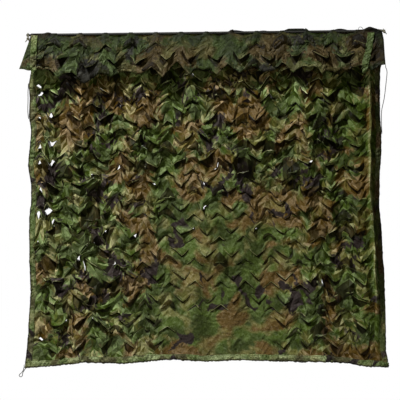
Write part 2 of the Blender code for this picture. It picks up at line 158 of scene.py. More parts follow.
# Beside the ridge, further in, the cloth is darker: how far in, how wide, and by what share.
HOLLOW, HOLLOW_WIDTH, HOLLOW_SHADE = 0.034, 0.020, 0.34

# How creased the cloth is: centre x and z, half width, half height, share of the usual.
ZONES = (
    (0.14, -0.80, 0.30, 0.80, 1.18),
    (0.82, -0.98, 0.32, 0.36, 0.28),
    (0.86, -1.27, 0.26, 0.09, 0.60),
    (0.76, -0.06, 0.20, 0.06, 0.50),
)
# Creases in the hanging cloth: (how far apart, depth).
CREASES = ((0.150, 0.009), (0.085, 0.008))
# How the cloth has shifted in its own plane: (how far apart, distance).
SWAYS = ((0.170, 0.018), (0.070, 0.011))
# Where the cloth is more creased than this its print is drawn together: how far apart, and by how much.
GATHERED_FROM = 0.25
GATHERING = (0.075, 0.026)

# Stretches of whole cloth: low x, high x, low z, high z.
WHOLE = ((0.62, 1.08, -1.345, -1.185), (0.60, 0.92, -0.105, 0.02))
# Where the cloth is less creased than this its cuts keep to their rows.
ORDERLY = 0.6
LEAF_SEED = 11
# Under the flap the leaves lie flatter: the share at the rod, and the drop over which that passes.
SHADED_LEAST, SHADED_DROP = 0.30, 0.20
FLAP_LOOSENESS = 0.85
HINGE_SHARPNESS = 2.6
# How far a leaf leans, in degrees: (least, how much more by chance), for the leaves that point down and up.
DOWN_LEAN, DOWN_SHARE, DOWN_BACK = (3, 30), 0.80, 25
UP_BACK, UP_BACK_SHARE, UP_LEAN = (6, 30), 0.55, (8, 46)
WIDE_LEAN, WIDE_SHARE = 75, 0.22
FLAP_LEAN = 16
OPENED_LEAN = 30
# A leaf that leans more than this falls as well, and falls fully when it leans so much more.
FALL_START, FALL_SPAN = 15, 20
# How far a leaf's tip is twisted, creased and swayed at most, and how far its edge laps over the cut.
LEAF_BENDS = (0.028, 0.016, 0.022)
LAP, LOOSE_LAP, SWAYED_LAP = 0.004, 0.005, 0.8
LEAST_LEAF = 0.006
LIFT_CURVE = 0.7
# The cloth beside a cut follows its edge over this many rows.
HOLD_ROWS = 5
# Corners of the small facets, as columns and rows within one repeat of the cuts.
FACET_STEPS = (0, 2, 4, 7, 9, 11)
FACET_ROWS = (0, 2, 4, 6, 8, 10)
FACET_COLUMNS = np.array([mark + STEPS * cell for cell in range(-1, CELLS + 2) for mark in FACET_STEPS])
FACET_LINES = np.array([mark + REPEAT * turn for turn in range(-1, 17) for mark in FACET_ROWS])
# How far a facet's corners may stand forward or back, and how far they may slide.
FACET_DEPTH = 0.0105
FLAP_FACET_DEPTH = 0.0070
FACET_SLIDE = 0.0052
# Facets are flatter near the rod, the hem and the ridge: (start, distance, least share).
FACET_ROD_CALM, FACET_HEM_CALM, FACET_RIDGE_CALM = (0.0, 0.06, 0.0), (0.0, 0.05, 0.1), (0.006, 0.020, 0.22)
# How much lighter or darker a facet may be, and how far its print may be shifted, where the cloth is creased.
FACET_TONE = 0.68
FACET_LIFT = 0.14
FACET_SLIP = 0.010
CALM_CREASING = 0.08
MOST_CREASING = 2.0
# How far the cloth above a cut stands forward of the cloth below it, and over how many rows.
LEAST_STEP = 0.0020
MOST_STEP = 0.0125
STEP_REACH = 3
# How light a leaf may be, and how far the print may shift on it. Both come in fully early up the leaf.
LEAF_TONES, TONE_START = (0.74, 1.36), 0.4
PRINT_SLIP = 0.018
PRINT_RISE = 2.2
# How pale a leaf's front edge is painted, partly fraying and partly painted highlight.
LEAF_HIGHLIGHT_AND_WEAR = (0.40, 1.05)
# The painted shade along each cut, on the cloth behind its edge: how wide it may be, how much wider where the cloth
# is creased, and how dark.
SLIT_SHADE_WIDTH = (0.0022, 0.0062)
SLIT_SHADE_SPREAD = 0.0075
SLIT_SHADE_FOOT = 0.5
SLIT_SHADE_ROWS = 4
SLIT_SHADE_COLOUR = (0.20, 0.16, 0.06)
SLIT_SHADE_SOFTNESS = 0.0009
NO_SLIT_SHADE = -0.010
FRONT_LEAN = 15
FLAP_OPENING = 0.0120
FLAP_SLIT_SHADES = 2.2
# Painted light and shade over the hanging cloth, as shares of its tone: (distance across, share), or (distance below
# the rod, share).
# The flap's ends and its upper part carry painted shade: (distance across, share), or (distance from the rod, share).
PAINTED_LIGHT_ACROSS = (
    (0.0, 1.06), (0.16, 1.06), (0.26, 1.20), (0.38, 1.06), (0.95, 1.02), (1.22, 0.88), (1.34, 0.78), (1.478, 0.72),
)
PAINTED_LIGHT_DOWN = ((0.0, 0.75), (0.175, 1.14), (0.24, 0.88), (0.28, 0.84), (0.42, 0.92), (0.80, 1.0), (1.385, 1.06))
FLAP_END_SHADE = ((0.0, 0.6), (0.040, 0.80), (0.30, 1.0), (1.10, 1.0), (1.395, 0.85), (1.440, 0.22), (1.478, 0.16))
FLAP_PAINTED_SHADE = ((0.0, 0.05), (0.006, 0.08), (0.018, 0.16), (0.045, 0.36), (0.155, 0.47))
# The facets differ more in tone in the flap's shadow: (distance below the rod, share).
FACET_FADE = ((0.0, 1.0), (0.15, 1.0), (0.18, 1.8), (0.25, 1.5), (0.31, 1.0))

# Gaps that the light comes through: x, z, width, height, and the way it slants (0 level, 1 up to the right).
LIT_GAPS = (
    (0.057, -0.222, 0.016, 0.034, 0), (0.036, -0.264, 0.012, 0.026, 1), (0.048, -0.320, 0.014, 0.024, 1),
    (0.036, -0.377, 0.010, 0.024, 0), (0.057, -0.415, 0.012, 0.022, 0), (0.078, -0.474, 0.018, 0.029, 1),
    (0.059, -0.509, 0.014, 0.024, 0), (0.069, -0.553, 0.014, 0.024, 1), (0.040, -0.569, 0.010, 0.017, 0),
    (0.050, -0.612, 0.014, 0.024, 1), (0.052, -0.663, 0.012, 0.041, 1), (0.065, -0.705, 0.024, 0.048, 0),
    (0.055, -0.761, 0.016, 0.041, 1), (0.047, -0.871, 0.016, 0.029, 0), (0.103, -0.919, 0.012, 0.014, 1),
    (0.404, -0.551, 0.010, 0.006, 1), (0.299, -0.589, 0.012, 0.005, 1), (0.267, -0.863, 0.006, 0.006, 1),
    (0.246, -0.902, 0.006, 0.005, 0), (0.216, -0.936, 0.008, 0.005, 1), (0.534, -0.720, 0.008, 0.005, 1),
    (0.522, -0.825, 0.007, 0.005, 1), (0.462, -0.854, 0.007, 0.005, 0), (0.733, -0.629, 0.014, 0.005, 1),
    (0.800, -0.562, 0.010, 0.005, 1), (0.731, -0.722, 0.008, 0.005, 1), (0.720, -0.822, 0.008, 0.005, 1),
    (0.933, -0.709, 0.007, 0.004, 1), (0.941, -0.804, 0.007, 0.004, 1), (0.525, -0.914, 0.007, 0.005, 1),
    (0.536, -0.628, 0.007, 0.005, 0), (1.202, -0.530, 0.011, 0.007, 1), (0.103, -1.003, 0.010, 0.012, 0),
    (0.412, -1.008, 0.011, 0.006, 1), (0.277, -1.184, 0.009, 0.006, 0), (0.172, -1.203, 0.009, 0.006, 1),
    (0.069, -1.299, 0.014, 0.014, 0), (0.370, -0.948, 0.007, 0.005, 1), (1.145, -0.974, 0.009, 0.006, 1),
    (1.247, -1.053, 0.008, 0.005, 1),
)
# The cloth hangs within this depth: where it starts to be drawn in, and how much further it may reach.
BACK_KNEE, BACK_REST = 0.018, 0.022
FRONT_KNEE, FRONT_REST = 0.050, 0.020
# A gap opens this far out along a cut's arm. The cloth round it is drawn over to it, and this is how far at most.
ARM_MIDDLE = 0.6
LIT_SPREAD = 0.8
PULL_REACH = 0.030
MOST_PULL = 0.022

# The sewn tape folded over the edges, and the strips laid down the flap.
TAPE = 0.0007
TAPE_WIDTH = 0.0235
TAPE_LIFT = 0.0013
TAPE_STITCH = 0.0195
# The tape is gathered by its stitches: (distance apart, depth), and how flat it lies near them.
SIDE_PUCKERS, HEM_PUCKERS, STRIP_PUCKERS = (0.016, 0.0034), (0.012, 0.0080), (0.012, 0.0045)
STITCH_REACH, STITCH_FLAT = 0.004, 0.15
# The back half of the tape is flatter, and its fold is drawn as three rows, 0.8 mm apart on the cloth.
BACK_PUCKERS = 0.4
TAPE_BULGE, FOLD_ROW = 0.0008, 0.0008
EDGE_SLACK = 0.0002
# The strips narrow to a tip, and lie a little higher than the tape.
STRIP_TIP, STRIP_TAPER, STRIP_LIFT = 0.25, 0.10, 0.002
STRIP_WIDTHS = (0.026, 0.028)
# The strips are cut from the tape clear of its fold and its stitches.
STRIP_CUT = 0.036
# The tape's fold is darkened with painted shade where it turns under: how far from the fold that is full, and where
# it ends.
FOLD_SHADE_EDGES = (0.0022, 0.0058)
# Fine and broad folds of a pucker: how they run around and slant along, size, share of the depth, and seed's offset.
PUCKER_FOLDS = ((0.5, 0.8, 1.0, 1.3, 0), (0.4, -0.6, 2.6, 0.9, 3))
# How far short of the cloth's corners the side tapes and the bottom tape stop.
SIDE_TAPE_TOP, SIDE_TAPE_FOOT, BOTTOM_TAPE_END = 0.004, 0.0035, 0.001
# Points along each tape and strip, and from its edge inwards.
SIDE_POINTS, BOTTOM_POINTS, STRIP_POINTS = 380, 420, 60
TAPE_LINES, STRIP_LINES = 10, 9
# A stitch: half its width and where its edge ends, its length with the gap after it, and its share of that.
STITCH_LINE = (0.0005, 0.0008)
STITCH_LENGTH, STITCH_SHARE = 0.0042, 0.66
# Height of the tape's ribs and stitches in mm, and the ribs' scale.
RIB_SCALE, RIB_HEIGHT, STITCH_HEIGHT = 150.0, 0.10, 0.35
# The middle of each flap strip: (share of the flap's length, x).
STRIP_LEFT = ((0.03, 0.0345), (0.5, 0.0335), (1.12, 0.0320))
STRIP_RIGHT = ((0.06, 1.4460), (0.5, 1.4340), (1.20, 1.4080))

# Routes of the cords, as points that a smooth curve passes through.
CORD_RADIUS = 0.0015
TIE_RADIUS = 0.002
WIRE_RADIUS = 0.001
WIRE_STEP = 0.0012
# A sealed end of a cord is drawn in to this share of its radius.
TIP_SHARE = 0.65
KNOT_SIZE, KNOT_RADIUS = 0.0062, 0.0017
CORD_SEAT = HALF_CLOTH + 2 * GAP + CORD_RADIUS + 0.0015
# Each edge cord stands free of the side tape: (distance down the cloth, how far it stands out).
EDGE_CORD_LEFT = (
    (0.200, 0.0), (0.212, 0.0003), (0.237, 0.0035), (0.270, 0.0050), (0.312, 0.0035),
    (0.337, 0.0003), (0.349, 0.0),
)
# The right cord first falls from the flap's corner: offsets from that corner.
EDGE_CORD_RIGHT_START = (
    (0.0, 0.0, -0.0006), (0.0005, 0.0020, -0.0110), (0.0070, 0.0090, -0.0290), (0.0050, 0.0250, -0.0740),
    (-0.0005, 0.0400, -0.1350),
)
EDGE_CORD_RIGHT_END = ((0.330, 0.0045), (0.385, 0.0010), (0.410, 0.0), (0.425, 0.0))
# The ties: a turn of cord round the rod, then each free end's points from the turn outwards.
TURN_STEPS = 24
TURN_PITCH = 2 * TIE_RADIUS + 2 * GAP
TIE_TURN_RADIUS = (ROD_RADIUS + GAP + TIE_RADIUS) / CHORD
TIE_LEFT_X = 0.005
TIE_LEFT_ENDS = (
    ((0.0047, -0.0082, -0.010), (0.0030, -0.0075, -0.020), (-0.0040, -0.0060, -0.0300)),
    ((0.0100, -0.0082, -0.010), (0.0110, -0.0075, -0.020), (0.0130, -0.0065, -0.0320)),
)
TIE_LEFT_KNOT = (0.0073, -0.0080, -0.0165)
TIE_RIGHT_X = 1.4975
TIE_RIGHT_ENDS = (
    ((1.4955, -0.0120, 0.0165), (1.4870, -0.0125, 0.0195), (1.4780, -0.0122, 0.0220)),
    ((1.5045, -0.0085, 0.0120), (1.5080, -0.0075, 0.0080), (1.5110, -0.0070, 0.0030)),
)
TIE_RIGHT_KNOT = (1.5005, -0.0125, 0.0130)
# The wire loop arches over the crest: (x, angle from the top in degrees, height above its seat).
WIRE_SEAT = FOLD_RADIUS + HALF_CLOTH + GAP + WIRE_RADIUS
WIRE_FLATNESS = 0.7
TWIST_TIE = (
    (1.3915, -65, 0.0), (1.3930, -45, 0.0020), (1.3960, -20, 0.0065), (1.4010, 0, 0.0085),
    (1.4080, 12, 0.0075), (1.4130, 35, 0.0040), (1.4150, 62, 0.0),
)
# The loop at the lower left corner: offsets from the cloth's corner. Its ends lie along the two bound edges.
CORNER_LOOP = (
    (-CORD_SEAT, 0.0, 0.0120), (-CORD_SEAT, 0.0, 0.0030), (-0.0078, 0.0, -0.0116), (-0.0129, 0.0, -0.0200),
    (-0.0178, 0.0, -0.0252), (-0.0236, 0.0, -0.0296), (-0.0252, 0.0, -0.0356), (-0.0217, 0.0, -0.0398),
    (-0.0160, 0.0, -0.0402), (-0.0122, 0.0, -0.0360), (-0.0116, 0.0, -0.0296), (-0.0096, 0.0, -0.0219),
    (-0.0046, 0.0, -0.0135), (0.0010, 0.0, -0.0048), (0.0072, 0.0, -0.0022), (0.0140, 0.0, -0.0014),
)

# The colours of each print, in linear light, in the order of these labels.
PRINT_LABELS = ("Green", "Dark Green", "Brown", "Khaki", "Black")
GREEN = (0.079, 0.112, 0.031)
BLACK = (0.026, 0.019, 0.018)
CLOTH_PRINT = (GREEN, (0.041, 0.056, 0.016), (0.122, 0.081, 0.032), (0.212, 0.190, 0.078), BLACK)
# The bottom tape's paler green is painted light on its upward face, and the right flap strip's darker green is
# painted shade.
TAPE_GREEN, LIT_HEM_GREEN, SHADED_STRIP_GREEN = (0.105, 0.150, 0.042), (0.225, 0.275, 0.120), (0.060, 0.088, 0.026)
TAPE_BROWN, TAPE_KHAKI = (0.082, 0.078, 0.032), (0.300, 0.310, 0.130)
TAPE_PRINT = (TAPE_GREEN, GREEN, TAPE_BROWN, TAPE_KHAKI, BLACK)
LIT_HEM_PRINT = (LIT_HEM_GREEN, TAPE_GREEN, TAPE_BROWN, TAPE_KHAKI, BLACK)
SHADED_STRIP_PRINT = (SHADED_STRIP_GREEN, GREEN, SHADED_STRIP_GREEN, TAPE_GREEN, BLACK)
SHADED_PRINT = ((0.060, 0.070, 0.022), (0.030, 0.040, 0.012), (0.075, 0.048, 0.020), (0.090, 0.100, 0.040), BLACK)
# The cloth's front, its back, and the flap's outer side: (name, (wash colour, its share) or None, how vivid).
CLOTHS = (
    ("printed_cloth", None, 1.59),
    ("cloth_reverse", ((0.165, 0.170, 0.120), 0.35), 1.30),
    ("turned_cloth", ((0.095, 0.130, 0.085), 0.13), 1.38),
)
# The tapes: (name, print, where on the print it is cut, how far along it pales and is fully pale, or None). The
# shaded tape's print is painted shade that pales out towards its foot.
TAPES = (
    ("binding_tape", TAPE_PRINT, (0.3, 0.1, 0.4), None),
    ("shaded_binding_tape", SHADED_PRINT, (0.7, 0.2, 0.4), (0.95, 1.25)),
    ("hem_tape", LIT_HEM_PRINT, (0.3, 0.1, 0.4), None),
    ("strip_tape", SHADED_STRIP_PRINT, (0.3, 0.1, 0.4), None),
)
# How much the shaded tape's painted shade is lifted towards its foot.
LIFTED_TAPE_SHADE = (2.2, 2.2, 2.0)
# Colour of the painted shade on the tape's fold.
TAPE_FOLD_SHADE = (0.22, 0.20, 0.12)
THREAD = (0.10, 0.12, 0.05)
TAPE_VIVID = 1.40
# The cords: (name, the strands' pale tops, partly worn and partly painted highlight, and the painted shade between
# them).
CORDS = (
    ("dark_cord", (0.020, 0.019, 0.018), (0.006, 0.006, 0.006)),
    ("khaki_cord", (0.34, 0.33, 0.26), (0.15, 0.14, 0.10)),
    ("soiled_cord", (0.034, 0.034, 0.018), (0.010, 0.010, 0.006)),
)
# The strands' slant in degrees and their scale, and how deep the braid and its speckle are.
BRAID_SLANT, BRAID_SCALE = 38, 0.55 / CORD_RADIUS
SPECKLE_SCALE, SPECKLE_SHARE, BRAID_SHARE = 900.0, 0.5, 0.7
# Painted steel: (name, paint, bare metal, how much of it is whole).
WIRE_STEEL = ("dark_wire", (0.020, 0.020, 0.020), (0.16, 0.15, 0.14), 0.33)
ROD_STEEL = ("rod_paint", (0.012, 0.012, 0.013), (0.13, 0.12, 0.11), 0.36)
# The print: each colour's shift, the size of its patches, and where its edge starts and ends.
DEEP_PATCHES = ((3.1, 8.2, 0.0), 0.085, 0.40, 0.60)
PALE_PATCHES = ((7.7, 1.4, 2.0), 0.080, 0.520, 0.660)
BROWN_PATCHES = ((1.3, 4.6, 5.0), 0.110, 0.500, 0.590)
THICK_BRANCHES = ((9.0, 2.0, 7.0), 0.12, 0.51, 0.60)
PRINT_WANDER = (45.0, 0.012)
# Khaki also rims the brown: the noise value it lies at, its half width and soft edge, and how strong it is.
BROWN_RIM = (0.525, 0.004, 0.030)
RIM_SHARE, PALE_SHARE = 0.3, 0.60
# Black branches: shift and size of the noise they follow, their width where thickest, and their soft edge.
BRANCHES = ((5.5, 6.1, 9.0), 0.115)
BRANCH_WIDTH = 0.058
BRANCH_EDGE = (-0.006, 0.020)
# Edges of leaves and the ridge are painted pale: the leaves' front edges partly from fraying and partly as painted
# highlight, the ridge as painted highlight.
HIGHLIGHT_AND_WEAR_COLOUR = (0.300, 0.310, 0.150)
HIGHLIGHT_AND_WEAR_EDGES = (0.50, 0.86)
EDGE_HIGHLIGHT_AND_WEAR = 0.75
# Worn cloth: where it starts and ends in the weave's noise, the tone's slope and start, and the roughness it adds.
WORN = (0.35, 0.75)
WORN_TONE = (0.36, 0.82)
WORN_ROUGHNESS = 0.14
# Fine crumples painted on the cloth as paler and darker spots, painted light and shade: how many to a metre.
CRUMPLE_SCALE = 165.0
# Cloth and tape: depth of the small creases in mm, roughness, and the share by which the crumples' painted light and
# shade change the tone.
CLOTH_FINISH, TAPE_FINISH = (1.9, 0.62, 1.7), (3.2, 0.55, 3.0)
# Paler cloth is less vivid, down to a least.
VIVID_SLOPE, LEAST_VIVID = -0.50, 0.85
# Small sharp creases in the cloth: direction in degrees, distance apart, and how far they wander.
SMALL_CREASES = ((22, 0.026, 3.0), (74, 0.019, 4.0), (128, 0.031, 3.5))
# They come in patches of this size, between these values of the noise. A wave of scale 1 repeats every 0.314 m.
CREASE_PATCH, CREASE_START, CREASE_FULL = 0.045, 0.42, 0.62
WAVE_LENGTH = 0.314
# The weave's thread scale and height in mm, and the crumples' scale, detail, distortion and height.
THREAD_SCALE, THREAD_HEIGHT = 330.0, 0.08
WEAVE_CRUMPLES = (55.0, 3.0, 1.6)
CRUMPLE_HEIGHT = 1.5

# The lamps: (name, place, width, power, colour).
LAMPS = (
    ("key", (-2.9, -3.9, 5.3), 1.0, 865.0, (1.0, 1.0, 0.97)),
    ("fill", (1.5, -7.5, -0.5), 3.5, 82.0, (1.0, 0.95, 0.62)),
    ("back", (3.6, 4.5, 1.8), 3.0, 300.0, (1.0, 1.0, 1.0)),
)
AMBIENT = 0.02
AIM = (0.73, 0.0, -0.70)
CAMERA_PLACE = (0.7287, -6.0, -0.6922)
LENS = 128.6
FLOOR_PLACE, FLOOR_SIZE = (0.73, 0.1, -2.05), (2.6, 1.6, 1.0)
FLOOR_COLOUR = (0.82, 0.81, 0.79, 1.0)


def read(table, value):
    """Straight-line reading of a table whose first column may run either way."""
    first, second = np.array(table).T
    order = np.argsort(first)
    return np.interp(value, first[order], second[order])


def rise(distance, reach, least=0.0):
    """From the least share where there is no distance up to 1 at the reach, and 1 from there on."""
    return np.clip(distance / reach, least, 1)


def arrays(u, down):
    """Both as arrays of one shape."""
    return np.broadcast_arrays(np.asarray(u, float), np.asarray(down, float))


def edge_distance(u):
    return np.minimum(u, 1 - u) * WIDTH


def between_edges(u, z):
    """Where the hanging cloth is, this share across it."""
    return (1 - u) * (read(MAIN_LEFT, z) + EDGE_INSET) + u * (read(MAIN_RIGHT, z) - EDGE_INSET)


def over_rod(x, reach, angle):
    """A place this far from the rod's axis, turned back from its top by this angle."""
    return x, reach * np.sin(angle), axis_height(x) + reach * np.cos(angle)


def axis_height(x):
    return x * math.tan(ROD_TILT)


def ripple(x, z, size, seed):
    """Smooth noise over the cloth, from about -1 to 1."""
    pairs = zip(x.ravel(), z.ravel())
    values = [noise.noise(Vector((a / size, b / size, seed))) for a, b in pairs]
    return np.array(values).reshape(x.shape)


def creasing(x, z):
    """How creased the cloth is there, as a share of the usual."""
    amount = np.ones(np.shape(x))
    for centre_x, centre_z, half_x, half_z, share in ZONES:
        near = np.exp(-(((x - centre_x) / half_x) ** 4) - ((z - centre_z) / half_z) ** 4)
        amount += (share - 1) * near
    return amount


def fold_depth(x, z):
    """How far the folds set the cloth back from its plain hang."""
    depth = np.zeros_like(x)
    for centre_x, centre_z, half_length, half_height, slant, size in FOLDS:
        turn = math.radians(slant)
        across = (x - centre_x) * math.cos(turn) + (z - centre_z) * math.sin(turn)
        up = (z - centre_z) * math.cos(turn) - (x - centre_x) * math.sin(turn)
        depth += size * np.exp(-((across / half_length) ** 2) - (up / half_height) ** 2)
    return depth


def curl_share(z):
    """The right edge lies flatter towards the hem."""
    return np.clip((z + CURL_END) / CURL_FADE, CURL_REST, 1)


def edge_curl(u, z):
    """How far the side edges curl back, with the soft ridge in front of the right one."""
    left = np.clip(1 - u * WIDTH / CURL_WIDTH, 0, 1)
    from_edge = (1 - u) * WIDTH
    ridge = read(RIGHT_RIDGE, z)
    right = np.clip(1 - from_edge / ridge, 0, 1)
    bump = np.exp(-(((from_edge - ridge) / RIDGE_WIDTH) ** 2))
    return LEFT_CURL * left**2 + curl_share(z) * (RIGHT_CURL * right**1.3 - RIDGE_LIFT * bump)


def creases(x, z, seed):
    return sum(size * ripple(x, z, apart, seed + k) for k, (apart, size) in enumerate(CREASES))


def sway(x, z, share, seed):
    """The cloth's place after it has shifted sideways and up or down in its own plane."""
    across = sum(size * ripple(x, z, apart, seed + k) for k, (apart, size) in enumerate(SWAYS))
    up = sum(size * ripple(x, z, apart, seed + 13.4 + k) for k, (apart, size) in enumerate(SWAYS))
    return x + share * across, z + share * up


def hang(u, down):
    """Points of the main cloth: u is the share across, down the distance below the rod."""
    u, down = arrays(u, down)
    share = down / DROP
    x = between_edges(u, -down)
    z = (1 - share) * axis_height(x) + share * (read(MAIN_HEM, x) + EDGE_INSET)
    from_edge, from_hem = edge_distance(u), DROP - down
    calm = rise(from_edge, *SIDE_CALM) * rise(from_hem, *HEM_CALM)
    amount = creasing(x, z) * calm * rise(down, *ROD_CALM)
    folded = rise(down, FOLD_RAMP) ** 1.5 * (fold_depth(x, z) + edge_curl(u, z))
    y = FOLD_RADIUS + folded + amount * creases(x, z, 3.1)
    slide = rise(from_edge, SIDE_HOLD) * rise(from_hem, HEM_CALM[0]) * rise(down, *ROD_CALM)
    x, z = sway(x, z, slide * np.clip(creasing(x, z), 0, 1), 21.3)
    return np.stack([x, y, z], axis=-1)


def fall(u, share):
    """Points of the flap: share runs from the rod, 0, to its hem, 1."""
    u, share = arrays(u, share)
    end_x = (1 - u) * FLAP_LEFT[-1][1] + u * FLAP_RIGHT[-1][1]
    z = (1 - share) * axis_height(end_x) + share * read(FLAP_HEM, end_x)
    x = (1 - u) * read(FLAP_LEFT, z) + u * read(FLAP_RIGHT, z)
    waves = sum(depth * np.sin(math.tau * x / length + start) for length, depth, start in FLAP_WAVES)
    ramp = rise(share, FLAP_RAMP)
    amount = creasing(x, z) * ramp
    y = -FOLD_RADIUS - share * (FLAP_FLARE + waves) + FLAP_CREASING * amount * creases(x, z, 51.9)
    slide = FLAP_CREASING * rise(edge_distance(u), SIDE_HOLD) * ramp
    x, z = sway(x, z, slide, 61.3)
    return np.stack([x, y, z], axis=-1)


def crest(u, angle):
    """Points of the cloth over the rod, puffed up off it here and there."""
    u, angle = arrays(u, angle)
    x = between_edges(u, 0)
    puffed = np.clip(PUFF_SLOPE * ripple(x, 0 * x, PUFF_LENGTH, 7.7) - PUFF_START, 0, 1)
    reach = FOLD_RADIUS + PUFF * puffed * np.cos(angle) * rise(edge_distance(u), SIDE_CALM[0])
    return np.stack(over_rod(x, reach, angle), axis=-1)


@dataclass
class Cut:
    """One leaf cut: its row and middle column, how far it runs to each side, and how its leaf lies."""

    row: int
    middle: int
    left: int
    right: int
    points_down: bool
    # How the leaf stands: its lean in degrees, how much it falls, its bends, and how far it laps over the cut.
    lean: float = 0.0
    falls: float = 0.0
    twist: float = 0.0
    crease: float = 0.0
    sway: float = 0.0
    lap: float = 0.0
    # At three places along the cut: how far the cloth is raised above it and sunk below it, and how wide its painted
    # shade is.
    raised: tuple = ()
    sunk: tuple = ()
    slit_shade: tuple = ()
    slip: tuple = ()
    tone: float = 1.0
    # How pale its front edge is painted: partly fraying and partly painted highlight.
    edge_highlight_and_wear: float = 0.0
    # Whether the cut's painted shade lies below it or above it.
    dark_below: bool = True
    # A gap that light comes through: its height, where it is and its width.
    lift: float = 0.0
    lit_x: float = 0.0
    lit_width: float = 0.0


@dataclass
class Leg:
    """One hanging length of the cloth, as a grid with rows downwards."""

    down: np.ndarray
    points: np.ndarray
    cuts: list
    above: np.ndarray = None
    below: np.ndarray = None
    slip: np.ndarray = None
    tone: np.ndarray = None
    # How far each point lies inside the painted shade beside a cut: in the rows beyond the cut, and on the cut's
    # edge.
    deep_shade: np.ndarray = None
    lip_shade: np.ndarray = None


def columns():
    """Distance across the cloth of each column, and its step number in the repeat."""
    regular = [FIRST_CELL + (step - HALF_CELL) * STEP_X for step in range(FIRST_STEP, LAST_STEP + 1)]
    mirrored = [WIDTH - across for across in reversed(EDGE_COLUMNS)]
    across = np.array([*EDGE_COLUMNS, *regular, *mirrored])
    return across, HALF_CELL + (across - FIRST_CELL) / STEP_X


ACROSS, COLUMN_STEPS = columns()


def column_of(step):
    return int(step) - FIRST_STEP + len(EDGE_COLUMNS)


def zigzag(turned):
    """How far each column's rows stand below their line: half hexagons, with straight arms and short flats."""
    steps = COLUMN_STEPS
    phase = steps / STEPS + (0.5 if turned else 0.0)
    swing = 1 - 4 * np.abs(phase - np.round(phase))
    inside = rise(steps - 1, 4) * rise(LAST_STEP + 3 - steps, 4)
    return np.clip(ZIGZAG * ARM_SLOPE * swing, -ZIGZAG, ZIGZAG) * inside


def regular_cuts(rows, turned, last=LAST_STEP - 1):
    """Every cut of one leg. The rows that hold cuts are half a repeat apart, and alternate between two kinds."""
    cuts = []
    for row in range(HALF_REPEAT, rows, HALF_REPEAT):
        odd = (row // HALF_REPEAT) % 2 == 1
        points_down = odd != turned
        for middle in range(STEPS if odd else HALF_CELL, LAST_STEP, STEPS):
            left = min(HALF_CUT, middle - FIRST_STEP - 1)
            right = min(HALF_CUT, last - middle)
            if left > 1 and right > 1:
                cuts.append(Cut(row, middle, left, right, points_down))
    return cuts


def in_whole_cloth(x, z):
    return any(low_x < x < high_x and low_z < z < high_z for low_x, high_x, low_z, high_z in WHOLE)


def leaf_lean(points_down, draws, loose, amount, shade):
    if points_down and draws[1] < DOWN_SHARE:
        return loose * (DOWN_LEAN[0] + DOWN_LEAN[1] * draws[0])
    if points_down:
        return -DOWN_BACK * loose * draws[0]
    if draws[1] < UP_BACK_SHARE:
        return -loose * (UP_BACK[0] + UP_BACK[1] * draws[0])
    wide = WIDE_LEAN * shade if draws[2] < WIDE_SHARE * amount else 0.0
    return loose * (UP_LEAN[0] + UP_LEAN[1] * draws[0]) + wide


def lay_leaves(leg, chance, on_flap):
    """Gives each leaf its own lean, twist and lap, and drops the cuts in whole cloth."""
    kept = []
    for cut in leg.cuts:
        x, _, z = leg.points[cut.row, column_of(cut.middle)]
        amount = float(creasing(x, z))
        draws = [chance.random() for _ in range(10)]
        if in_whole_cloth(x, z):
            continue
        if amount > ORDERLY and REPEAT <= cut.row < len(leg.down) - REPEAT:
            cut.row += chance.choice((-2, -1, 0, 1, 2))
            cut.middle += chance.choice((-1, 0, 1)) if cut.left == cut.right == HALF_CUT else 0
        shade = FLAP_LOOSENESS if on_flap else min(1.0, SHADED_LEAST + leg.down[cut.row, 0] / SHADED_DROP)
        loose = shade * amount
        cut.lean = leaf_lean(cut.points_down, draws, loose, amount, shade)
        if on_flap:
            cut.lean += math.copysign(FLAP_LEAN, cut.lean)
        cut.falls = min(1.0, max(0.0, abs(cut.lean) - FALL_START) / FALL_SPAN)
        bends = [loose * size * (draw - 0.5) * 2 for size, draw in zip(LEAF_BENDS, draws[3:6])]
        cut.twist, cut.crease, cut.sway = bends
        cut.lap = LAP + LOOSE_LAP * draws[6] * loose + SWAYED_LAP * abs(cut.sway)
        steps = [LEAST_STEP + loose * MOST_STEP * chance.random() ** 1.5 for _ in range(6)]
        cut.raised, cut.sunk = steps[:3], steps[3:]
        cut.slip = [amount * PRINT_SLIP * chance.uniform(-1, 1) for _ in range(2)]
        if cut.left == HALF_CUT:
            cut.left += chance.choice((-1, 0, 0, 1))
        if cut.right == HALF_CUT:
            cut.right += chance.choice((-1, 0, 0, 1))
        low, high = LEAF_TONES
        cut.tone = 1 + min(1.0, amount + TONE_START) * (low - 1 + (high - low) * chance.random() ** 1.3)
        cut.dark_below = cut.points_down or cut.lean < FRONT_LEAN
        cut.slit_shade = [chance.uniform(*SLIT_SHADE_WIDTH) + SLIT_SHADE_SPREAD * amount * chance.random() ** 3 for _ in range(3)]
        cut.edge_highlight_and_wear = chance.uniform(*LEAF_HIGHLIGHT_AND_WEAR)
        if on_flap:
            cut.lap -= FLAP_OPENING * chance.random()
            cut.slit_shade = [FLAP_SLIT_SHADES * width for width in cut.slit_shade]
        kept.append(cut)
    leg.cuts = kept


def facet_place(row, step):
    """How far down and across a place is, counted in facets from the line and column of facet corners before it."""
    down = np.interp(row, FACET_LINES, np.arange(len(FACET_LINES)))
    across = np.interp(step, FACET_COLUMNS, np.arange(len(FACET_COLUMNS)))
    i, j = np.floor(down).astype(int), np.floor(across).astype(int)
    return i, j, across - j, down - i


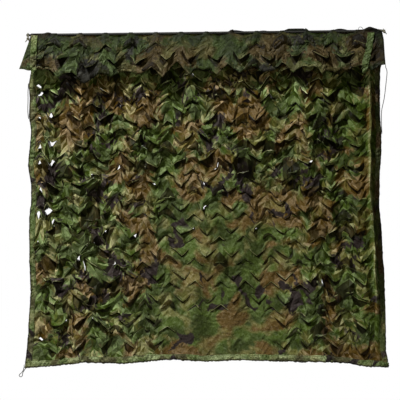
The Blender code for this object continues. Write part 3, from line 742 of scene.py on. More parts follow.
def facet_heights(rows, amount, seed):
    """Flat facets between sharp creases, each corner of a facet set forward or back by chance."""
    corners = np.random.default_rng(seed).uniform(-1, 1, (len(FACET_LINES), len(FACET_COLUMNS)))
    i, j, fu, fv = facet_place(np.arange(rows)[:, None], COLUMN_STEPS[None, :])
    turned = (i + j) % 2 == 1
    low = np.where(turned, corners[i, j + 1], corners[i, j])
    side = np.where(turned, corners[i, j], corners[i, j + 1])
    under = np.where(turned, corners[i + 1, j + 1], corners[i + 1, j])
    far = np.where(turned, corners[i + 1, j], corners[i + 1, j + 1])
    fu = np.where(turned, 1 - fu, fu)
    near_part = low + fu * (side - low) + fv * (under - low)
    far_part = far + (1 - fu) * (under - far) + (1 - fv) * (side - far)
    return amount * np.where(fu + fv < 1, near_part, far_part)


def add_facets(leg, size, seed):
    """Breaks the cloth up into facets, calmer where it is held and near the ridge."""
    creased = creasing(leg.points[..., 0], leg.points[..., 2])
    held = [
        (np.minimum(ACROSS, WIDTH - ACROSS)[None, :], (0.0, SIDE_CALM[0], 0.0)),
        (leg.down, FACET_ROD_CALM),
        (leg.down[-1].max() - leg.down, FACET_HEM_CALM),
    ]
    if len(leg.down) > FLAP_ROWS + 1:
        held.append((WIDTH - ACROSS[None, :] - read(RIGHT_RIDGE, -leg.down), FACET_RIDGE_CALM))
    calm = 1.0
    for distance, (start, reach, least) in held:
        calm = calm * rise(distance - start, reach, least)
    for axis, most, further in ((1, size, 0), (0, FACET_SLIDE, 1), (2, FACET_SLIDE, 2)):
        leg.points[..., axis] += facet_heights(len(leg.down), most * calm * creased, seed + further)


def opening_of(leg, cut, slant):
    """Where a gap would show: at the cut's tip if it is level, and otherwise on the arm that slants its way."""
    arm = slant if cut.points_down else -slant
    step = round(ARM_MIDDLE * (cut.right if arm > 0 else cut.left)) * arm
    x, _, z = leg.points[cut.row, column_of(cut.middle) + step]
    return x, z


def open_gaps(leg):
    """Opens the nearest leaf at each lit gap, and draws the cloth there over to it."""
    pulls = []
    for gap_x, gap_z, width, height, slant in LIT_GAPS:
        free = [cut for cut in leg.cuts if cut.lift == 0]
        places = np.array([opening_of(leg, cut, slant) for cut in free])
        away = np.hypot(places[:, 0] - gap_x, places[:, 1] - gap_z)
        cut = free[int(np.argmin(away))]
        x, z = opening_of(leg, cut, slant)
        pull = Vector((gap_x - x, gap_z - z))
        if pull.length > MOST_PULL:
            pull = pull * (MOST_PULL / pull.length)
        pulls.append((x, z, pull))
        cut.lift = height
        cut.lit_x, cut.lit_width = x + pull.x, width
        cut.falls, cut.lean = 0.0, OPENED_LEAN
    for x, z, pull in pulls:
        near = np.exp(-((leg.points[..., 0] - x) ** 2 + (leg.points[..., 2] - z) ** 2) / PULL_REACH**2)
        leg.points[..., 0] += near * pull.x
        leg.points[..., 2] += near * pull.y


def bend(share, height, lean):
    """How far forward a leaf is at this share of its height, and how much of that height it has lost."""
    parts = 6
    forward, upright = 0.0, 0.0
    for part in range(parts):
        here = share * (part + 0.5) / parts
        angle = math.radians(lean) * min(1.0, here * HINGE_SHARPNESS)
        forward += math.sin(angle) / parts
        upright += math.cos(angle) / parts
    return height * share * forward, height * share * (1 - upright)


def lit_share(cut, x):
    """How open the cut is to the light there."""
    if cut.lift == 0:
        return 0.0
    return max(0.0, 1 - ((x - cut.lit_x) / (LIT_SPREAD * cut.lit_width)) ** 2)


def fold_leaf(leg, cut):
    """Bends the leaf out of its cut, and sets the cloth above the cut forward of the cloth below it."""
    middle = column_of(cut.middle)
    sign = 1 if cut.points_down else -1
    feet = (leg.down[cut.row, middle - cut.left] + leg.down[cut.row, middle + cut.right]) / 2
    height = sign * (leg.down[cut.row, middle] - feet)
    if height < LEAST_LEAF:
        return
    _, lost = bend(1.0, height, cut.lean)
    lap = cut.lap + cut.falls * lost
    marks = (-cut.left, -cut.left / 2, 0, cut.right / 2, cut.right)
    slit_shade_widths = (SLIT_SHADE_FOOT * cut.slit_shade[0], *cut.slit_shade, SLIT_SHADE_FOOT * cut.slit_shade[2])
    for row in range(max(0, cut.row - HALF_REPEAT), min(len(leg.down), cut.row + HALF_REPEAT + 1)):
        for column in range(middle - cut.left + 1, middle + cut.right):
            step = column - middle
            across = step / (cut.right if step > 0 else cut.left)
            open_here = lit_share(cut, leg.points[row, column, 0])
            depth = sign * (leg.down[row, column] - feet)
            if (cut.row - row) * sign >= 0 and depth > 0:
                share = min(1.0, depth / height)
                forward, short = bend(share, height, cut.lean)
                forward += share * (cut.twist * across + cut.crease * (1 - 2 * abs(across)))
                up = sign * (cut.falls * short + open_here * cut.lift * share**LIFT_CURVE)
                add_shift(leg, row, column, (cut.sway * share, -forward, up), cut.row, sign)
                on_leaf = min(1.0, PRINT_RISE * share)
                leg.slip[row, column] += on_leaf * np.array(cut.slip)
                leg.tone[row, column] *= 1 + on_leaf * (cut.tone - 1)
            near = 1 - abs(row - cut.row) / STEP_REACH
            for reaches, side in ((cut.raised, 1), (cut.sunk, -1)):
                if near > 0 and (cut.row - row) * side >= 0:
                    reach = np.interp(step, marks, (0.0, *reaches, 0.0))
                    add_shift(leg, row, column, (0.0, -side * near * reach, 0.0), cut.row, side)
            # The cloth behind the cut's edge gets painted shade over a few rows.
            beyond = row - cut.row if cut.dark_below else cut.row - row
            if 0 <= beyond < SLIT_SHADE_ROWS:
                width = float(np.interp(step, marks, slit_shade_widths))
                inside = (width + lap * (1 - across**4)) * (1 - open_here) - beyond * STEP_Z
                if beyond == 0:
                    leg.lip_shade[row, column] = inside
                else:
                    leg.deep_shade[row, column] = max(leg.deep_shade[row, column], inside)
            near = 1 - abs(row - cut.row) / HOLD_ROWS
            if (cut.row - row) * sign <= 0 and near > 0:
                hold = near**1.5 * (1 - across**4)
                shift = (0.0, 0.0, hold * sign * lap * (1 - open_here))
                add_shift(leg, row, column, shift, cut.row, -sign)


def add_shift(leg, row, column, shift, cut_row, sign):
    """A point on the cut belongs to the cloth above it or below it, and any other point to both."""
    if row != cut_row:
        leg.above[row, column] += shift
        leg.below[row, column] += shift
    elif sign > 0:
        leg.above[row, column] += shift
    else:
        leg.below[row, column] += shift


def limit_depth(points):
    """Draws in what stands furthest back or forward, so the cloth hangs within its depth."""
    for side, knee, rest in ((1, BACK_KNEE, BACK_REST), (-1, FRONT_KNEE, FRONT_REST)):
        over = np.maximum(side * points[..., 1] - knee, 0.0)
        points[..., 1] -= side * (over - rest * np.tanh(over / rest))


def finish_leg(leg):
    limit_depth(leg.points)
    leg.above = leg.points.copy()
    leg.below = leg.points.copy()
    leg.slip = np.zeros((*leg.down.shape, 2))
    leg.tone = np.ones(leg.down.shape)
    leg.deep_shade, leg.lip_shade = np.full(leg.down.shape, NO_SLIT_SHADE), np.full(leg.down.shape, NO_SLIT_SHADE)
    for cut in leg.cuts:
        fold_leaf(leg, cut)
    limit_depth(leg.above)
    limit_depth(leg.below)


def main_leg():
    """The cloth that hangs behind the flap."""
    rows = np.array([*(STEP_Z * row for row in range(MAIN_ROWS + 1)), DROP])
    taper = rise(rows, ROD_TAPER) * rise(DROP - rows, HEM_TAPER)
    down = rows[:, None] + taper[:, None] * zigzag(False)[None, :]
    leg = Leg(down, hang(ACROSS[None, :] / WIDTH, down), regular_cuts(MAIN_ROWS - 4, False, LAST_CUT))
    add_facets(leg, FACET_DEPTH, LEAF_SEED + 30)
    lay_leaves(leg, random.Random(LEAF_SEED), False)
    open_gaps(leg)
    finish_leg(leg)
    return leg


def flap_leg():
    """The end of the cloth that falls forward over the rod, with leaves of uneven length along its hem."""
    rows = np.arange(FLAP_ROWS + 1) / FLAP_ROWS * FLAP_LENGTH
    marks = np.arange(-HALF_CELL, LAST_STEP + 3 * HALF_CELL, HALF_CELL)
    lengths = np.random.default_rng(LEAF_SEED + 7).uniform(*HEM_LENGTHS, len(marks))
    uneven = np.interp(COLUMN_STEPS, marks, lengths)
    near_hem = np.clip((rows / FLAP_LENGTH - HEM_START) / HEM_SPAN, 0, 1)[:, None]
    taper = rise(rows, FLAP_TAPER)[:, None] * (1 + near_hem * (HEM_LEAVES * uneven[None, :] - 1))
    down = rows[:, None] + taper * zigzag(True)[None, :]
    leg = Leg(down, fall(ACROSS[None, :] / WIDTH, down / FLAP_LENGTH), regular_cuts(FLAP_ROWS, True))
    add_facets(leg, FLAP_FACET_DEPTH, LEAF_SEED + 40)
    lay_leaves(leg, random.Random(LEAF_SEED + 1), True)
    finish_leg(leg)
    return leg


def crest_gap(steps_from_middle, crest_band):
    """The cuts along the crest leave the rod bare in front, between the strips that cross it."""
    return abs(steps_from_middle) < CREST_GAPS[crest_band]


def facet_looks(seed):
    """For each half of each facet: how light it is, and how far its print is shifted across and down."""
    chance = np.random.default_rng(seed)
    return chance.uniform(-1, 1, (len(FACET_LINES), len(FACET_COLUMNS), 2, 3))


def facet_look(looks, row, step, amount):
    """The tone and print shift of the half facet at this place, where the cloth is this creased."""
    i, j, fu, fv = facet_place(row, step)
    if (i + j) % 2 == 1:
        fu = 1 - fu
    light, across, down = looks[i, j, int(fu + fv < 1)]
    share = min(MOST_CREASING, max(0.0, (amount - CALM_CREASING) / (1 - CALM_CREASING)))
    return math.exp(share * (FACET_TONE * light + FACET_LIFT)), share * FACET_SLIP * np.array((across, down))


def edge_tone(across, down):
    """How light the cloth is painted here: painted light and shade across and down it, painted shade on its
    turned-back right edge and beside the ridge, and how strong the ridge's painted highlight is.
    """
    from_edge = WIDTH - across
    ridge = float(read(RIGHT_RIDGE, -down))
    curled = float(curl_share(-down))
    shaded = curled * min(1.0, max(0.0, (ridge - from_edge) / SHADE_REACH))
    highlight_and_wear = math.exp(-(((from_edge - ridge) / HIGHLIGHT_WIDTH) ** 4))
    highlight_and_wear *= curled * (1 + HIGHLIGHT_SPREAD * noise.noise(Vector((0.0, down / HIGHLIGHT_LENGTH, 2.7))))
    hollow = curled * HOLLOW_SHADE * math.exp(-(((from_edge - ridge - HOLLOW) / HOLLOW_WIDTH) ** 2))
    painted_light = float(read(PAINTED_LIGHT_ACROSS, across) * read(PAINTED_LIGHT_DOWN, down))
    return painted_light * (1 - EDGE_SHADE * shaded) * (1 - hollow) * (1 + HIGHLIGHT_TONE * highlight_and_wear), RIDGE_HIGHLIGHT * highlight_and_wear


def gathered(across, along, x, z):
    """The place on the flat cloth, drawn together where the cloth is creased."""
    apart, size = GATHERING
    amount = size * max(0.0, float(creasing(x, z)) - GATHERED_FROM)
    place = Vector((across / apart, along / apart, 0.0))
    shift = (noise.noise(place + Vector((0, 0, 4.4))), noise.noise(place + Vector((0, 0, 9.9))))
    return np.array((across, along)) + amount * np.array(shift)


def build_net(main, flap):
    """The whole cloth as one mesh, from the flap's hem over the rod to the lower hem."""
    places, cloth_places, tones, highlight_and_wear, slit_shades = [], [], [], [], []

    def add(point, column, along, slip=(0.0, 0.0), tint=1.0, slit_shade=NO_SLIT_SHADE, edge_highlight_and_wear=0.0, hanging=True):
        places.append(point)
        cloth_places.append(gathered(ACROSS[column], along, point[0], point[2]) + slip)
        if hanging:
            tone, ridge_highlight = edge_tone(ACROSS[column], along)
        else:
            tone, ridge_highlight = float(read(FLAP_PAINTED_SHADE, -along) * read(FLAP_END_SHADE, ACROSS[column])), 0.0
        tones.append(tone * tint)
        highlight_and_wear.append(max(edge_highlight_and_wear, ridge_highlight))
        slit_shades.append(slit_shade)
        return len(places) - 1

    def leg_lines(leg, sign):
        """Each row as the points the cloth above it ends on and those the cloth below it starts on."""
        lines, split = [], {}
        for cut in leg.cuts:
            middle = column_of(cut.middle)
            split.update({(cut.row, column): cut for column in range(middle - cut.left + 1, middle + cut.right)})
        for row in range(len(leg.down)):
            upper, lower = [], []
            for column in range(len(ACROSS)):
                along = sign * (leg.down[row, column] + math.pi / 2 * FOLD_RADIUS)
                leaf, web = (leg.slip[row, column], leg.tone[row, column]), ((0.0, 0.0), 1.0)
                above, below = leg.above[row, column], leg.below[row, column]
                cut = split.get((row, column))
                if cut is None:
                    upper.append(add(above, column, along, *leaf, leg.deep_shade[row, column], 0.0, sign > 0))
                    lower.append(upper[-1])
                    continue
                prints = (leaf, web) if cut.points_down else (web, leaf)
                edges = [(NO_SLIT_SHADE, cut.edge_highlight_and_wear), (leg.lip_shade[row, column], 0.0)]
                if not cut.dark_below:
                    edges.reverse()
                upper.append(add(above, column, along, *prints[0], *edges[0], sign > 0))
                lower.append(add(below, column, along, *prints[1], *edges[1], sign > 0))
            lines.append((upper, lower))
        return lines

    main_lines, flap_lines, crest_lines = leg_lines(main, 1), leg_lines(flap, -1), []
    for degrees in CREST_ANGLES:
        angle = math.radians(degrees)
        arc = crest(ACROSS / WIDTH, angle)
        crest_lines.append([add(point, k, angle * FOLD_RADIUS, hanging=False) for k, point in enumerate(arc)])

    faces, finishes, face_tones, face_slips = [], [], [], []
    looks = facet_looks(LEAF_SEED + 50)

    def add_face(corners, finish, row, step, amount):
        tone, slip = facet_look(looks, row, step, amount)
        faces.append(corners)
        finishes.append(finish)
        face_tones.append(tone)
        face_slips.append(slip)

    def add_band(upper, lower, finish, row, amounts, crest_band=None):
        for column, (step, after) in enumerate(zip(COLUMN_STEPS, COLUMN_STEPS[1:])):
            reach = after - step
            centre = step + reach / 2
            cell = math.floor(centre / STEPS)
            over_rod = crest_band is not None and 1 <= cell <= CELLS - 2
            if over_rod and crest_gap(centre - cell * STEPS - HALF_CELL, crest_band):
                continue
            a, b, c, d = upper[column], lower[column], lower[column + 1], upper[column + 1]
            near, far = step + reach / 3, step + 2 * reach / 3
            i, j, _, _ = facet_place(row, centre)
            if (i + j) % 2 == 1:
                halves = ((a, b, c), 2 / 3, near), ((a, c, d), 1 / 3, far)
            else:
                halves = ((a, b, d), 1 / 3, near), ((b, c, d), 2 / 3, far)
            for corners, further, place in halves:
                add_face(corners, finish, row + further, place, amounts[column])

    amounts = creasing(main.points[..., 0], main.points[..., 2]) * read(FACET_FADE, main.down)
    for number, ((_, start), (end, _)) in enumerate(zip(main_lines, main_lines[1:])):
        add_band(start, end, 0, number, amounts[number])
    over = [flap_lines[0][0], *crest_lines, main_lines[0][0]]
    for number, (start, end) in enumerate(zip(over, over[1:])):
        add_band(start, end, 1 if number < 3 else 0, number, amounts[0] * 0, number + 1)
    amounts = creasing(flap.points[..., 0], flap.points[..., 2])
    for number, ((_, start), (end, _)) in enumerate(zip(flap_lines, flap_lines[1:])):
        add_band(end, start, 1, number, amounts[number], 0 if number == 0 else None)
    marks = {"tone": tones, "highlight_and_wear": highlight_and_wear, "slit_shade": slit_shades}
    return sheet_mesh("cut_cloth", places, cloth_places, faces, finishes, marks, face_tones, face_slips)


def add_object(name, mesh, *materials):
    thing = bpy.data.objects.new(name, mesh)
    bpy.context.scene.collection.objects.link(thing)
    for material in materials:
        mesh.materials.append(material)
    return thing


def sheet_mesh(name, places, cloth_places, faces, finishes=None, marks=None, face_tones=None, face_slips=None):
    """A mesh with a UV map called flat, which holds each point's place on the cloth laid flat, in metres."""
    used = sorted({corner for face in faces for corner in face})
    number = {old: new for new, old in enumerate(used)}
    mesh = bpy.data.meshes.new(name)
    mesh.from_pydata(
        [tuple(places[old]) for old in used], [], [[number[corner] for corner in face] for face in faces]
    )
    layer = mesh.uv_layers.new(name="flat")
    flat = np.array([cloth_places[old] for old in used])
    corners = np.zeros(len(mesh.loops), np.int32)
    mesh.loops.foreach_get("vertex_index", corners)
    flat = flat[corners]
    if face_slips is not None:
        flat = flat + np.repeat(np.array(face_slips), 3, axis=0)
        mesh.attributes.new("facet", "FLOAT", "FACE").data.foreach_set("value", np.array(face_tones, np.float32))
    layer.data.foreach_set("uv", flat.astype(np.float32).ravel())
    if finishes is not None:
        mesh.polygons.foreach_set("material_index", np.array(finishes, np.int32))
    for label, values in (marks or {}).items():
        kept = np.array([values[old] for old in used], np.float32)
        mesh.attributes.new(label, "FLOAT", "POINT").data.foreach_set("value", kept)
    mesh.polygons.foreach_set("use_smooth", np.ones(len(mesh.polygons), bool))
    mesh.update()
    mesh.set_sharp_from_angle(angle=math.radians(9))
    return mesh


def thicken(thing, thickness, reverse=0):
    """Gives a sheet its thickness, half on each side. reverse: how many materials on its back's material is."""
    solid = thing.modifiers.new("thickness", "SOLIDIFY")
    solid.thickness, solid.offset, solid.material_offset = thickness, 0.0, reverse


def new_group(name, inputs, outputs):
    group = bpy.data.node_groups.new(name, "ShaderNodeTree")
    for sockets, side in ((inputs, "INPUT"), (outputs, "OUTPUT")):
        for kind, label in sockets:
            group.interface.new_socket(name=label, in_out=side, socket_type="NodeSocket" + kind)
    return group, group.nodes.new("NodeGroupInput"), group.nodes.new("NodeGroupOutput")


def feed(tree, socket, value):
    """Links the socket if the value is another socket, and otherwise sets it."""
    if isinstance(value, bpy.types.NodeSocket):
        tree.links.new(value, socket)
    else:
        socket.default_value = value


def add_node(tree, kind, settings=None, **values):
    """A node with its settings and its inputs, named with _ for a space."""
    node = tree.nodes.new("ShaderNode" + kind)
    for name, value in (settings or {}).items():
        setattr(node, name, value)
    for name, value in values.items():
        feed(tree, node.inputs[name.replace("_", " ")], value)
    return node


def maths(tree, operation, *values, kind="Math"):
    node = add_node(tree, kind, {"operation": operation})
    for socket, value in zip(node.inputs, values):
        feed(tree, socket, value)
    return node.outputs[0]


def times(tree, first, second):
    return maths(tree, "MULTIPLY", first, second)


def away_from(tree, value, middle):
    return maths(tree, "ABSOLUTE", maths(tree, "SUBTRACT", value, middle))


def blend_colour(tree, share, first, second, mode="MIX"):
    node = add_node(tree, "Mix", {"data_type": "RGBA", "blend_type": mode})
    feed(tree, node.inputs[0], share)
    for socket, value in ((node.inputs[6], first), (node.inputs[7], second)):
        feed(tree, socket, (*value, 1.0) if isinstance(value, tuple) else value)
    return node.outputs[2]


def flat_place(tree):
    """The place on the piece laid flat, in metres."""
    return add_node(tree, "UVMap", {"uv_map": "flat"}).outputs[0]


def noise_at(tree, place, scale, detail, distortion=0.0):
    return add_node(tree, "TexNoise", None, Vector=place, Scale=scale, Detail=detail, Distortion=distortion)


def step_up(tree, value, start, end):
    """From 0 at start to 1 at end."""
    settings = {"clamp": True, "interpolation_type": "SMOOTHSTEP"}
    return add_node(tree, "MapRange", settings, Value=value, From_Min=start, From_Max=end).outputs[0]


def patches(tree, place, shift, size):
    """Noise over the cloth, with patches of about this size in metres."""
    moved = add_node(tree, "Mapping", None, Vector=place, Location=shift).outputs[0]
    found = noise_at(tree, moved, 1 / size, 1.0, 0.35)
    found.inputs["Roughness"].default_value = 0.5
    return found.outputs[0]


def band(tree, value, middle, half, edge):
    """1 where the value is near the middle, and 0 further off."""
    off = away_from(tree, value, middle)
    return maths(tree, "SUBTRACT", 1.0, step_up(tree, off, half, half + edge))


def camouflage_group():
    """Woodland print: patches of brown and khaki on green, with black branches over them."""
    colours = [("Color", label) for label in PRINT_LABELS]
    group, given, made = new_group("camouflage_print", [("Vector", "Place"), *colours], [("Color", "Color")])
    green, dark_green, brown, khaki, black = (given.outputs[label] for label in PRINT_LABELS)

    def field(shift, size, start, end):
        values = patches(group, place, shift, size)
        return values, step_up(group, values, start, end)

    scale, reach = PRINT_WANDER
    wander = noise_at(group, given.outputs["Place"], scale, 1.0).outputs[1]
    pull = maths(group, "SUBTRACT", wander, (0.5, 0.5, 0.5), kind="VectorMath")
    pull = maths(group, "SCALE", pull, kind="VectorMath")
    pull.node.inputs["Scale"].default_value = reach
    place = maths(group, "ADD", given.outputs["Place"], pull, kind="VectorMath")
    colour = blend_colour(group, field(*DEEP_PATCHES)[1], green, dark_green)
    brown_values, browned = field(*BROWN_PATCHES)
    rim = band(group, brown_values, *BROWN_RIM)
    pale = times(group, field(*PALE_PATCHES)[1], PALE_SHARE)
    pale = maths(group, "MAXIMUM", pale, times(group, rim, RIM_SHARE))
    colour = blend_colour(group, browned, colour, brown)
    colour = blend_colour(group, pale, colour, khaki)
    thick = times(group, field(*THICK_BRANCHES)[1], BRANCH_WIDTH)
    off = away_from(group, patches(group, place, *BRANCHES), 0.5)
    branches = step_up(group, maths(group, "SUBTRACT", thick, off), *BRANCH_EDGE)
    feed(group, made.inputs["Color"], blend_colour(group, branches, colour, black))
    return group


def weave_group():
    """Fine plain weave with the small sharp creases of thin cloth, as one height in millimetres."""
    group, given, made = new_group(
        "woven_cloth", [("Vector", "Place"), ("Float", "Creases")], [("Float", "Height"), ("Float", "Wear")]
    )
    place, creased = given.outputs["Place"], given.outputs["Creases"]
    threads = [
        add_node(group, "TexWave", {"bands_direction": direction}, Vector=place, Scale=THREAD_SCALE).outputs[1]
        for direction in ("X", "Y")
    ]
    height = times(group, times(group, *threads), THREAD_HEIGHT)
    small = noise_at(group, place, *WEAVE_CRUMPLES).outputs[0]
    folded = away_from(group, small, 0.5)
    height = maths(group, "MULTIPLY_ADD", folded, times(group, creased, CRUMPLE_HEIGHT), height)
    for number, (degrees, apart, wander) in enumerate(SMALL_CREASES):
        turned = add_node(group, "Mapping", None, Vector=place, Rotation=(0.0, 0.0, math.radians(degrees)))
        folds = add_node(
            group, "TexWave", {"bands_direction": "X", "wave_profile": "TRI"}, Vector=turned.outputs[0],
            Scale=WAVE_LENGTH / apart, Distortion=wander, Detail=1.0, Detail_Scale=1.6,
        )
        values = patches(group, place, (2.0 + number, 5.0, 3.0 * number), CREASE_PATCH)
        where = step_up(group, values, CREASE_START, CREASE_FULL)
        depth = times(group, times(group, folds.outputs[1], where), creased)
        height = maths(group, "ADD", height, depth)
    feed(group, made.inputs["Height"], height)
    feed(group, made.inputs["Wear"], small)
    return group


def new_material(name):
    material = bpy.data.materials.new(name)
    material.use_nodes = True
    return material, material.node_tree, material.node_tree.nodes["Principled BSDF"]


def dress(tree, shader, height, strength, distance, **values):
    """Feeds the shader its inputs, named with _ for a space, and a bump of this height."""
    for name, value in values.items():
        feed(tree, shader.inputs[name.replace("_", " ")], value)
    bump = add_node(tree, "Bump", None, Strength=strength, Distance=distance, Height=height)
    feed(tree, shader.inputs["Normal"], bump.outputs[0])


def cloth_material(name, print_group, weave, colours, vivid, wash=None, shift=(0, 0, 0), tape=False):
    """Printed cloth or tape. wash: a colour and the share of it that washes the print out. shift: where it is cut."""
    creases, roughness, crumple_shade = TAPE_FINISH if tape else CLOTH_FINISH
    material, tree, shader = new_material(name)
    place = flat_place(tree)
    moved = add_node(tree, "Mapping", None, Vector=place, Location=shift).outputs[0]
    printed = add_node(tree, "Group", {"node_tree": print_group}, Place=moved)
    for label, colour in zip(PRINT_LABELS, colours):
        printed.inputs[label].default_value = (*colour, 1.0)
    woven = add_node(tree, "Group", {"node_tree": weave}, Place=place, Creases=creases)
    colour = printed.outputs[0]
    if wash is not None:
        colour = blend_colour(tree, wash[1], colour, wash[0])
    worn = step_up(tree, woven.outputs["Wear"], *WORN)
    tone = maths(tree, "MULTIPLY_ADD", worn, *WORN_TONE)
    if not tape:
        marks = {
            label: add_node(tree, "Attribute", {"attribute_name": label}).outputs["Fac"]
            for label in ("highlight_and_wear", "slit_shade", "tone", "facet")
        }
        # Pale leaf edges, partly fraying and partly painted highlight, and the ridge's painted highlight.
        edges = times(tree, step_up(tree, marks["highlight_and_wear"], *HIGHLIGHT_AND_WEAR_EDGES), EDGE_HIGHLIGHT_AND_WEAR)
        colour = blend_colour(tree, edges, colour, HIGHLIGHT_AND_WEAR_COLOUR)
        # Painted shade along the cuts.
        slit_shade = step_up(tree, marks["slit_shade"], -SLIT_SHADE_SOFTNESS, SLIT_SHADE_SOFTNESS)
        colour = blend_colour(tree, slit_shade, colour, SLIT_SHADE_COLOUR, "MULTIPLY")
        for label in ("tone", "facet"):
            tone = times(tree, tone, marks[label])
    # Painted light and shade of fine crumples.
    crumple_shading = noise_at(tree, place, CRUMPLE_SCALE, 2.0, 1.0).outputs[0]
    crumple_shading = maths(tree, "MULTIPLY_ADD", crumple_shading, crumple_shade, 1 - crumple_shade / 2)
    tone = times(tree, tone, crumple_shading)
    strong = maths(tree, "MAXIMUM", maths(tree, "MULTIPLY_ADD", tone, VIVID_SLOPE, vivid), LEAST_VIVID)
    shade = add_node(tree, "HueSaturation", None, Color=colour, Value=tone, Saturation=strong)
    dress(
        tree, shader, woven.outputs["Height"], 1.0, 0.001, Base_Color=shade.outputs[0],
        Roughness=maths(tree, "MULTIPLY_ADD", worn, WORN_ROUGHNESS, roughness - WORN_ROUGHNESS / 2),
        Sheen_Weight=0.03, Sheen_Roughness=0.4, Specular_IOR_Level=0.14,
    )
    return material


def on_leg(leg, down, across_at):
    """Points of the cloth before its leaves are folded out, at these distances down and across it."""
    lines = np.empty((len(ACROSS), len(down), 3))
    for column in range(len(ACROSS)):
        for axis in range(3):
            lines[column, :, axis] = np.interp(down, leg.down[:, column], leg.points[:, column, axis])
    place = np.interp(across_at, ACROSS, np.arange(len(ACROSS)))
    low = np.minimum(place.astype(int), len(ACROSS) - 2)
    share = (place - low)[:, None, None]
    return (1 - share) * lines[low] + share * lines[low + 1]


def facing(grid):
    """Unit normals of a grid of points, turned to the front."""
    normal = np.cross(np.gradient(grid, axis=0), np.gradient(grid, axis=1))
    normal /= np.linalg.norm(normal, axis=-1, keepdims=True)
    return normal * np.where(normal[..., 1:2] > 0, -1, 1)


def puckers(around, along, size, depth, seed):
    """Small folds that run slantwise over a sewn tape, deepest away from its stitching."""
    around, along = np.broadcast_arrays(around[:, None], along[None, :])
    folds = 0.0
    for narrow, slant, larger, share, further in PUCKER_FOLDS:
        folds = folds + share * np.abs(ripple(narrow * around, along + slant * around, larger * size, seed + further))
    return depth * rise(np.abs(around - TAPE_STITCH), STITCH_REACH, STITCH_FLAT) * folds


def folded_tape(surface, along, size, depth, seed):
    """Grid of a tape folded over an edge. surface holds lines of points that run along the edge, from it inwards."""
    steps_in = np.linspace(0, TAPE_WIDTH, surface.shape[0])
    normal = facing(surface)
    raised = puckers(steps_in, along, size, depth, seed)
    front = surface + normal * (TAPE_LIFT + raised)[..., None]
    back = surface - normal * (TAPE_LIFT + BACK_PUCKERS * raised)[..., None]
    out = surface[0] - surface[1]
    out /= np.linalg.norm(out, axis=-1, keepdims=True)
    bulge = (TAPE_BULGE + 0.5 * raised[0])[:, None]
    turn = [surface[0] + out * bulge + normal[0] * lift for lift in (TAPE_LIFT, 0.0, -TAPE_LIFT)]
    wander = 0.05 * ripple(along, 0 * along, 0.05, seed)
    front[-1] = surface[-1] + (surface[-1] - surface[-2]) * wander[:, None] + normal[-1] * TAPE_LIFT
    fold = [-FOLD_ROW * row for row in (1, 2, 3)]
    return np.array([*front[::-1], *turn, *back]), np.array([*steps_in[::-1], *fold, *(-4 * FOLD_ROW - steps_in)])


def grid_sheet(name, grid, around, along, material):
    """A tape's sheet through a grid of points whose second direction runs along the piece."""
    count = grid.shape[1]
    cloth_places = [(a, b) for a in around for b in along]
    corners = [i * count + j for i in range(grid.shape[0] - 1) for j in range(count - 1)]
    faces = [(corner, corner + count, corner + count + 1, corner + 1) for corner in corners]
    tape = add_object(name, sheet_mesh(name, grid.reshape(-1, 3), cloth_places, faces), material)
    thicken(tape, TAPE)
    return tape


def side_tape(name, leg, at_left, seed, material):
    down = np.linspace(SIDE_TAPE_TOP, DROP - SIDE_TAPE_FOOT, SIDE_POINTS)
    inwards = np.linspace(EDGE_SLACK, TAPE_WIDTH, TAPE_LINES)
    surface = on_leg(leg, down, inwards if at_left else WIDTH - inwards)
    grid, around = folded_tape(surface, down, *SIDE_PUCKERS, seed)
    turned = 1 if at_left else -1
    return grid_sheet(name, grid[::turned], around[::turned], down, material)


def bottom_tape(name, leg, material):
    across = np.linspace(BOTTOM_TAPE_END, WIDTH - BOTTOM_TAPE_END, BOTTOM_POINTS)
    upwards = np.linspace(EDGE_SLACK, TAPE_WIDTH, TAPE_LINES)
    surface = on_leg(leg, DROP - upwards, across).transpose(1, 0, 2)
    grid, around = folded_tape(surface, across, *HEM_PUCKERS, 14.5)
    return grid_sheet(name, grid, around, across, material)


def flap_strip(name, leg, route, width, seed, material):
    """Tape laid down the face of the flap. route gives its middle: (share of the flap's length, x)."""
    shares, middles = np.array(route).T
    down = np.linspace(shares[0], shares[-1], STRIP_POINTS)
    offsets = np.linspace(-width / 2, width / 2, STRIP_LINES)
    grid = np.empty((len(offsets), len(down), 3))
    for number, share in enumerate(down):
        line = on_leg(leg, np.array([min(share, 1.0) * FLAP_LENGTH]), ACROSS)[:, 0]
        order = np.argsort(line[:, 0])
        narrow = rise(shares[-1] - share, STRIP_TAPER, STRIP_TIP)
        x = np.interp(share, shares, middles) + offsets * narrow
        beyond = max(0.0, share - 1.0) * FLAP_LENGTH
        grid[:, number, 0] = x
        grid[:, number, 1] = np.interp(x, line[order, 0], line[order, 1])
        grid[:, number, 2] = np.interp(x, line[order, 0], line[order, 2]) - beyond
    raised = puckers(offsets, down * FLAP_LENGTH, *STRIP_PUCKERS, seed)
    grid = grid + facing(grid) * (TAPE_LIFT + STRIP_LIFT + raised)[..., None]
    return grid_sheet(name, grid, STRIP_CUT + offsets, down * FLAP_LENGTH, material)


def smooth_route(anchors, spacing):
    """Points about this far apart on a Catmull-Rom curve through the anchors."""
    anchors = [Vector(point) for point in anchors]
    ends = [2 * anchors[0] - anchors[1], *anchors, 2 * anchors[-1] - anchors[-2]]
    route = [anchors[0]]
    for before, start, stop, after in zip(ends, ends[1:], ends[2:], ends[3:]):
        steps = max(1, round((stop - start).length / spacing))
        for step in range(1, steps + 1):
            t = step / steps
            tangent = (stop - before) * t + (2 * before - 5 * start + 4 * stop - after) * t**2
            tangent += (3 * start - before - 3 * stop + after) * t**3
            route.append(start + tangent / 2)
    return route


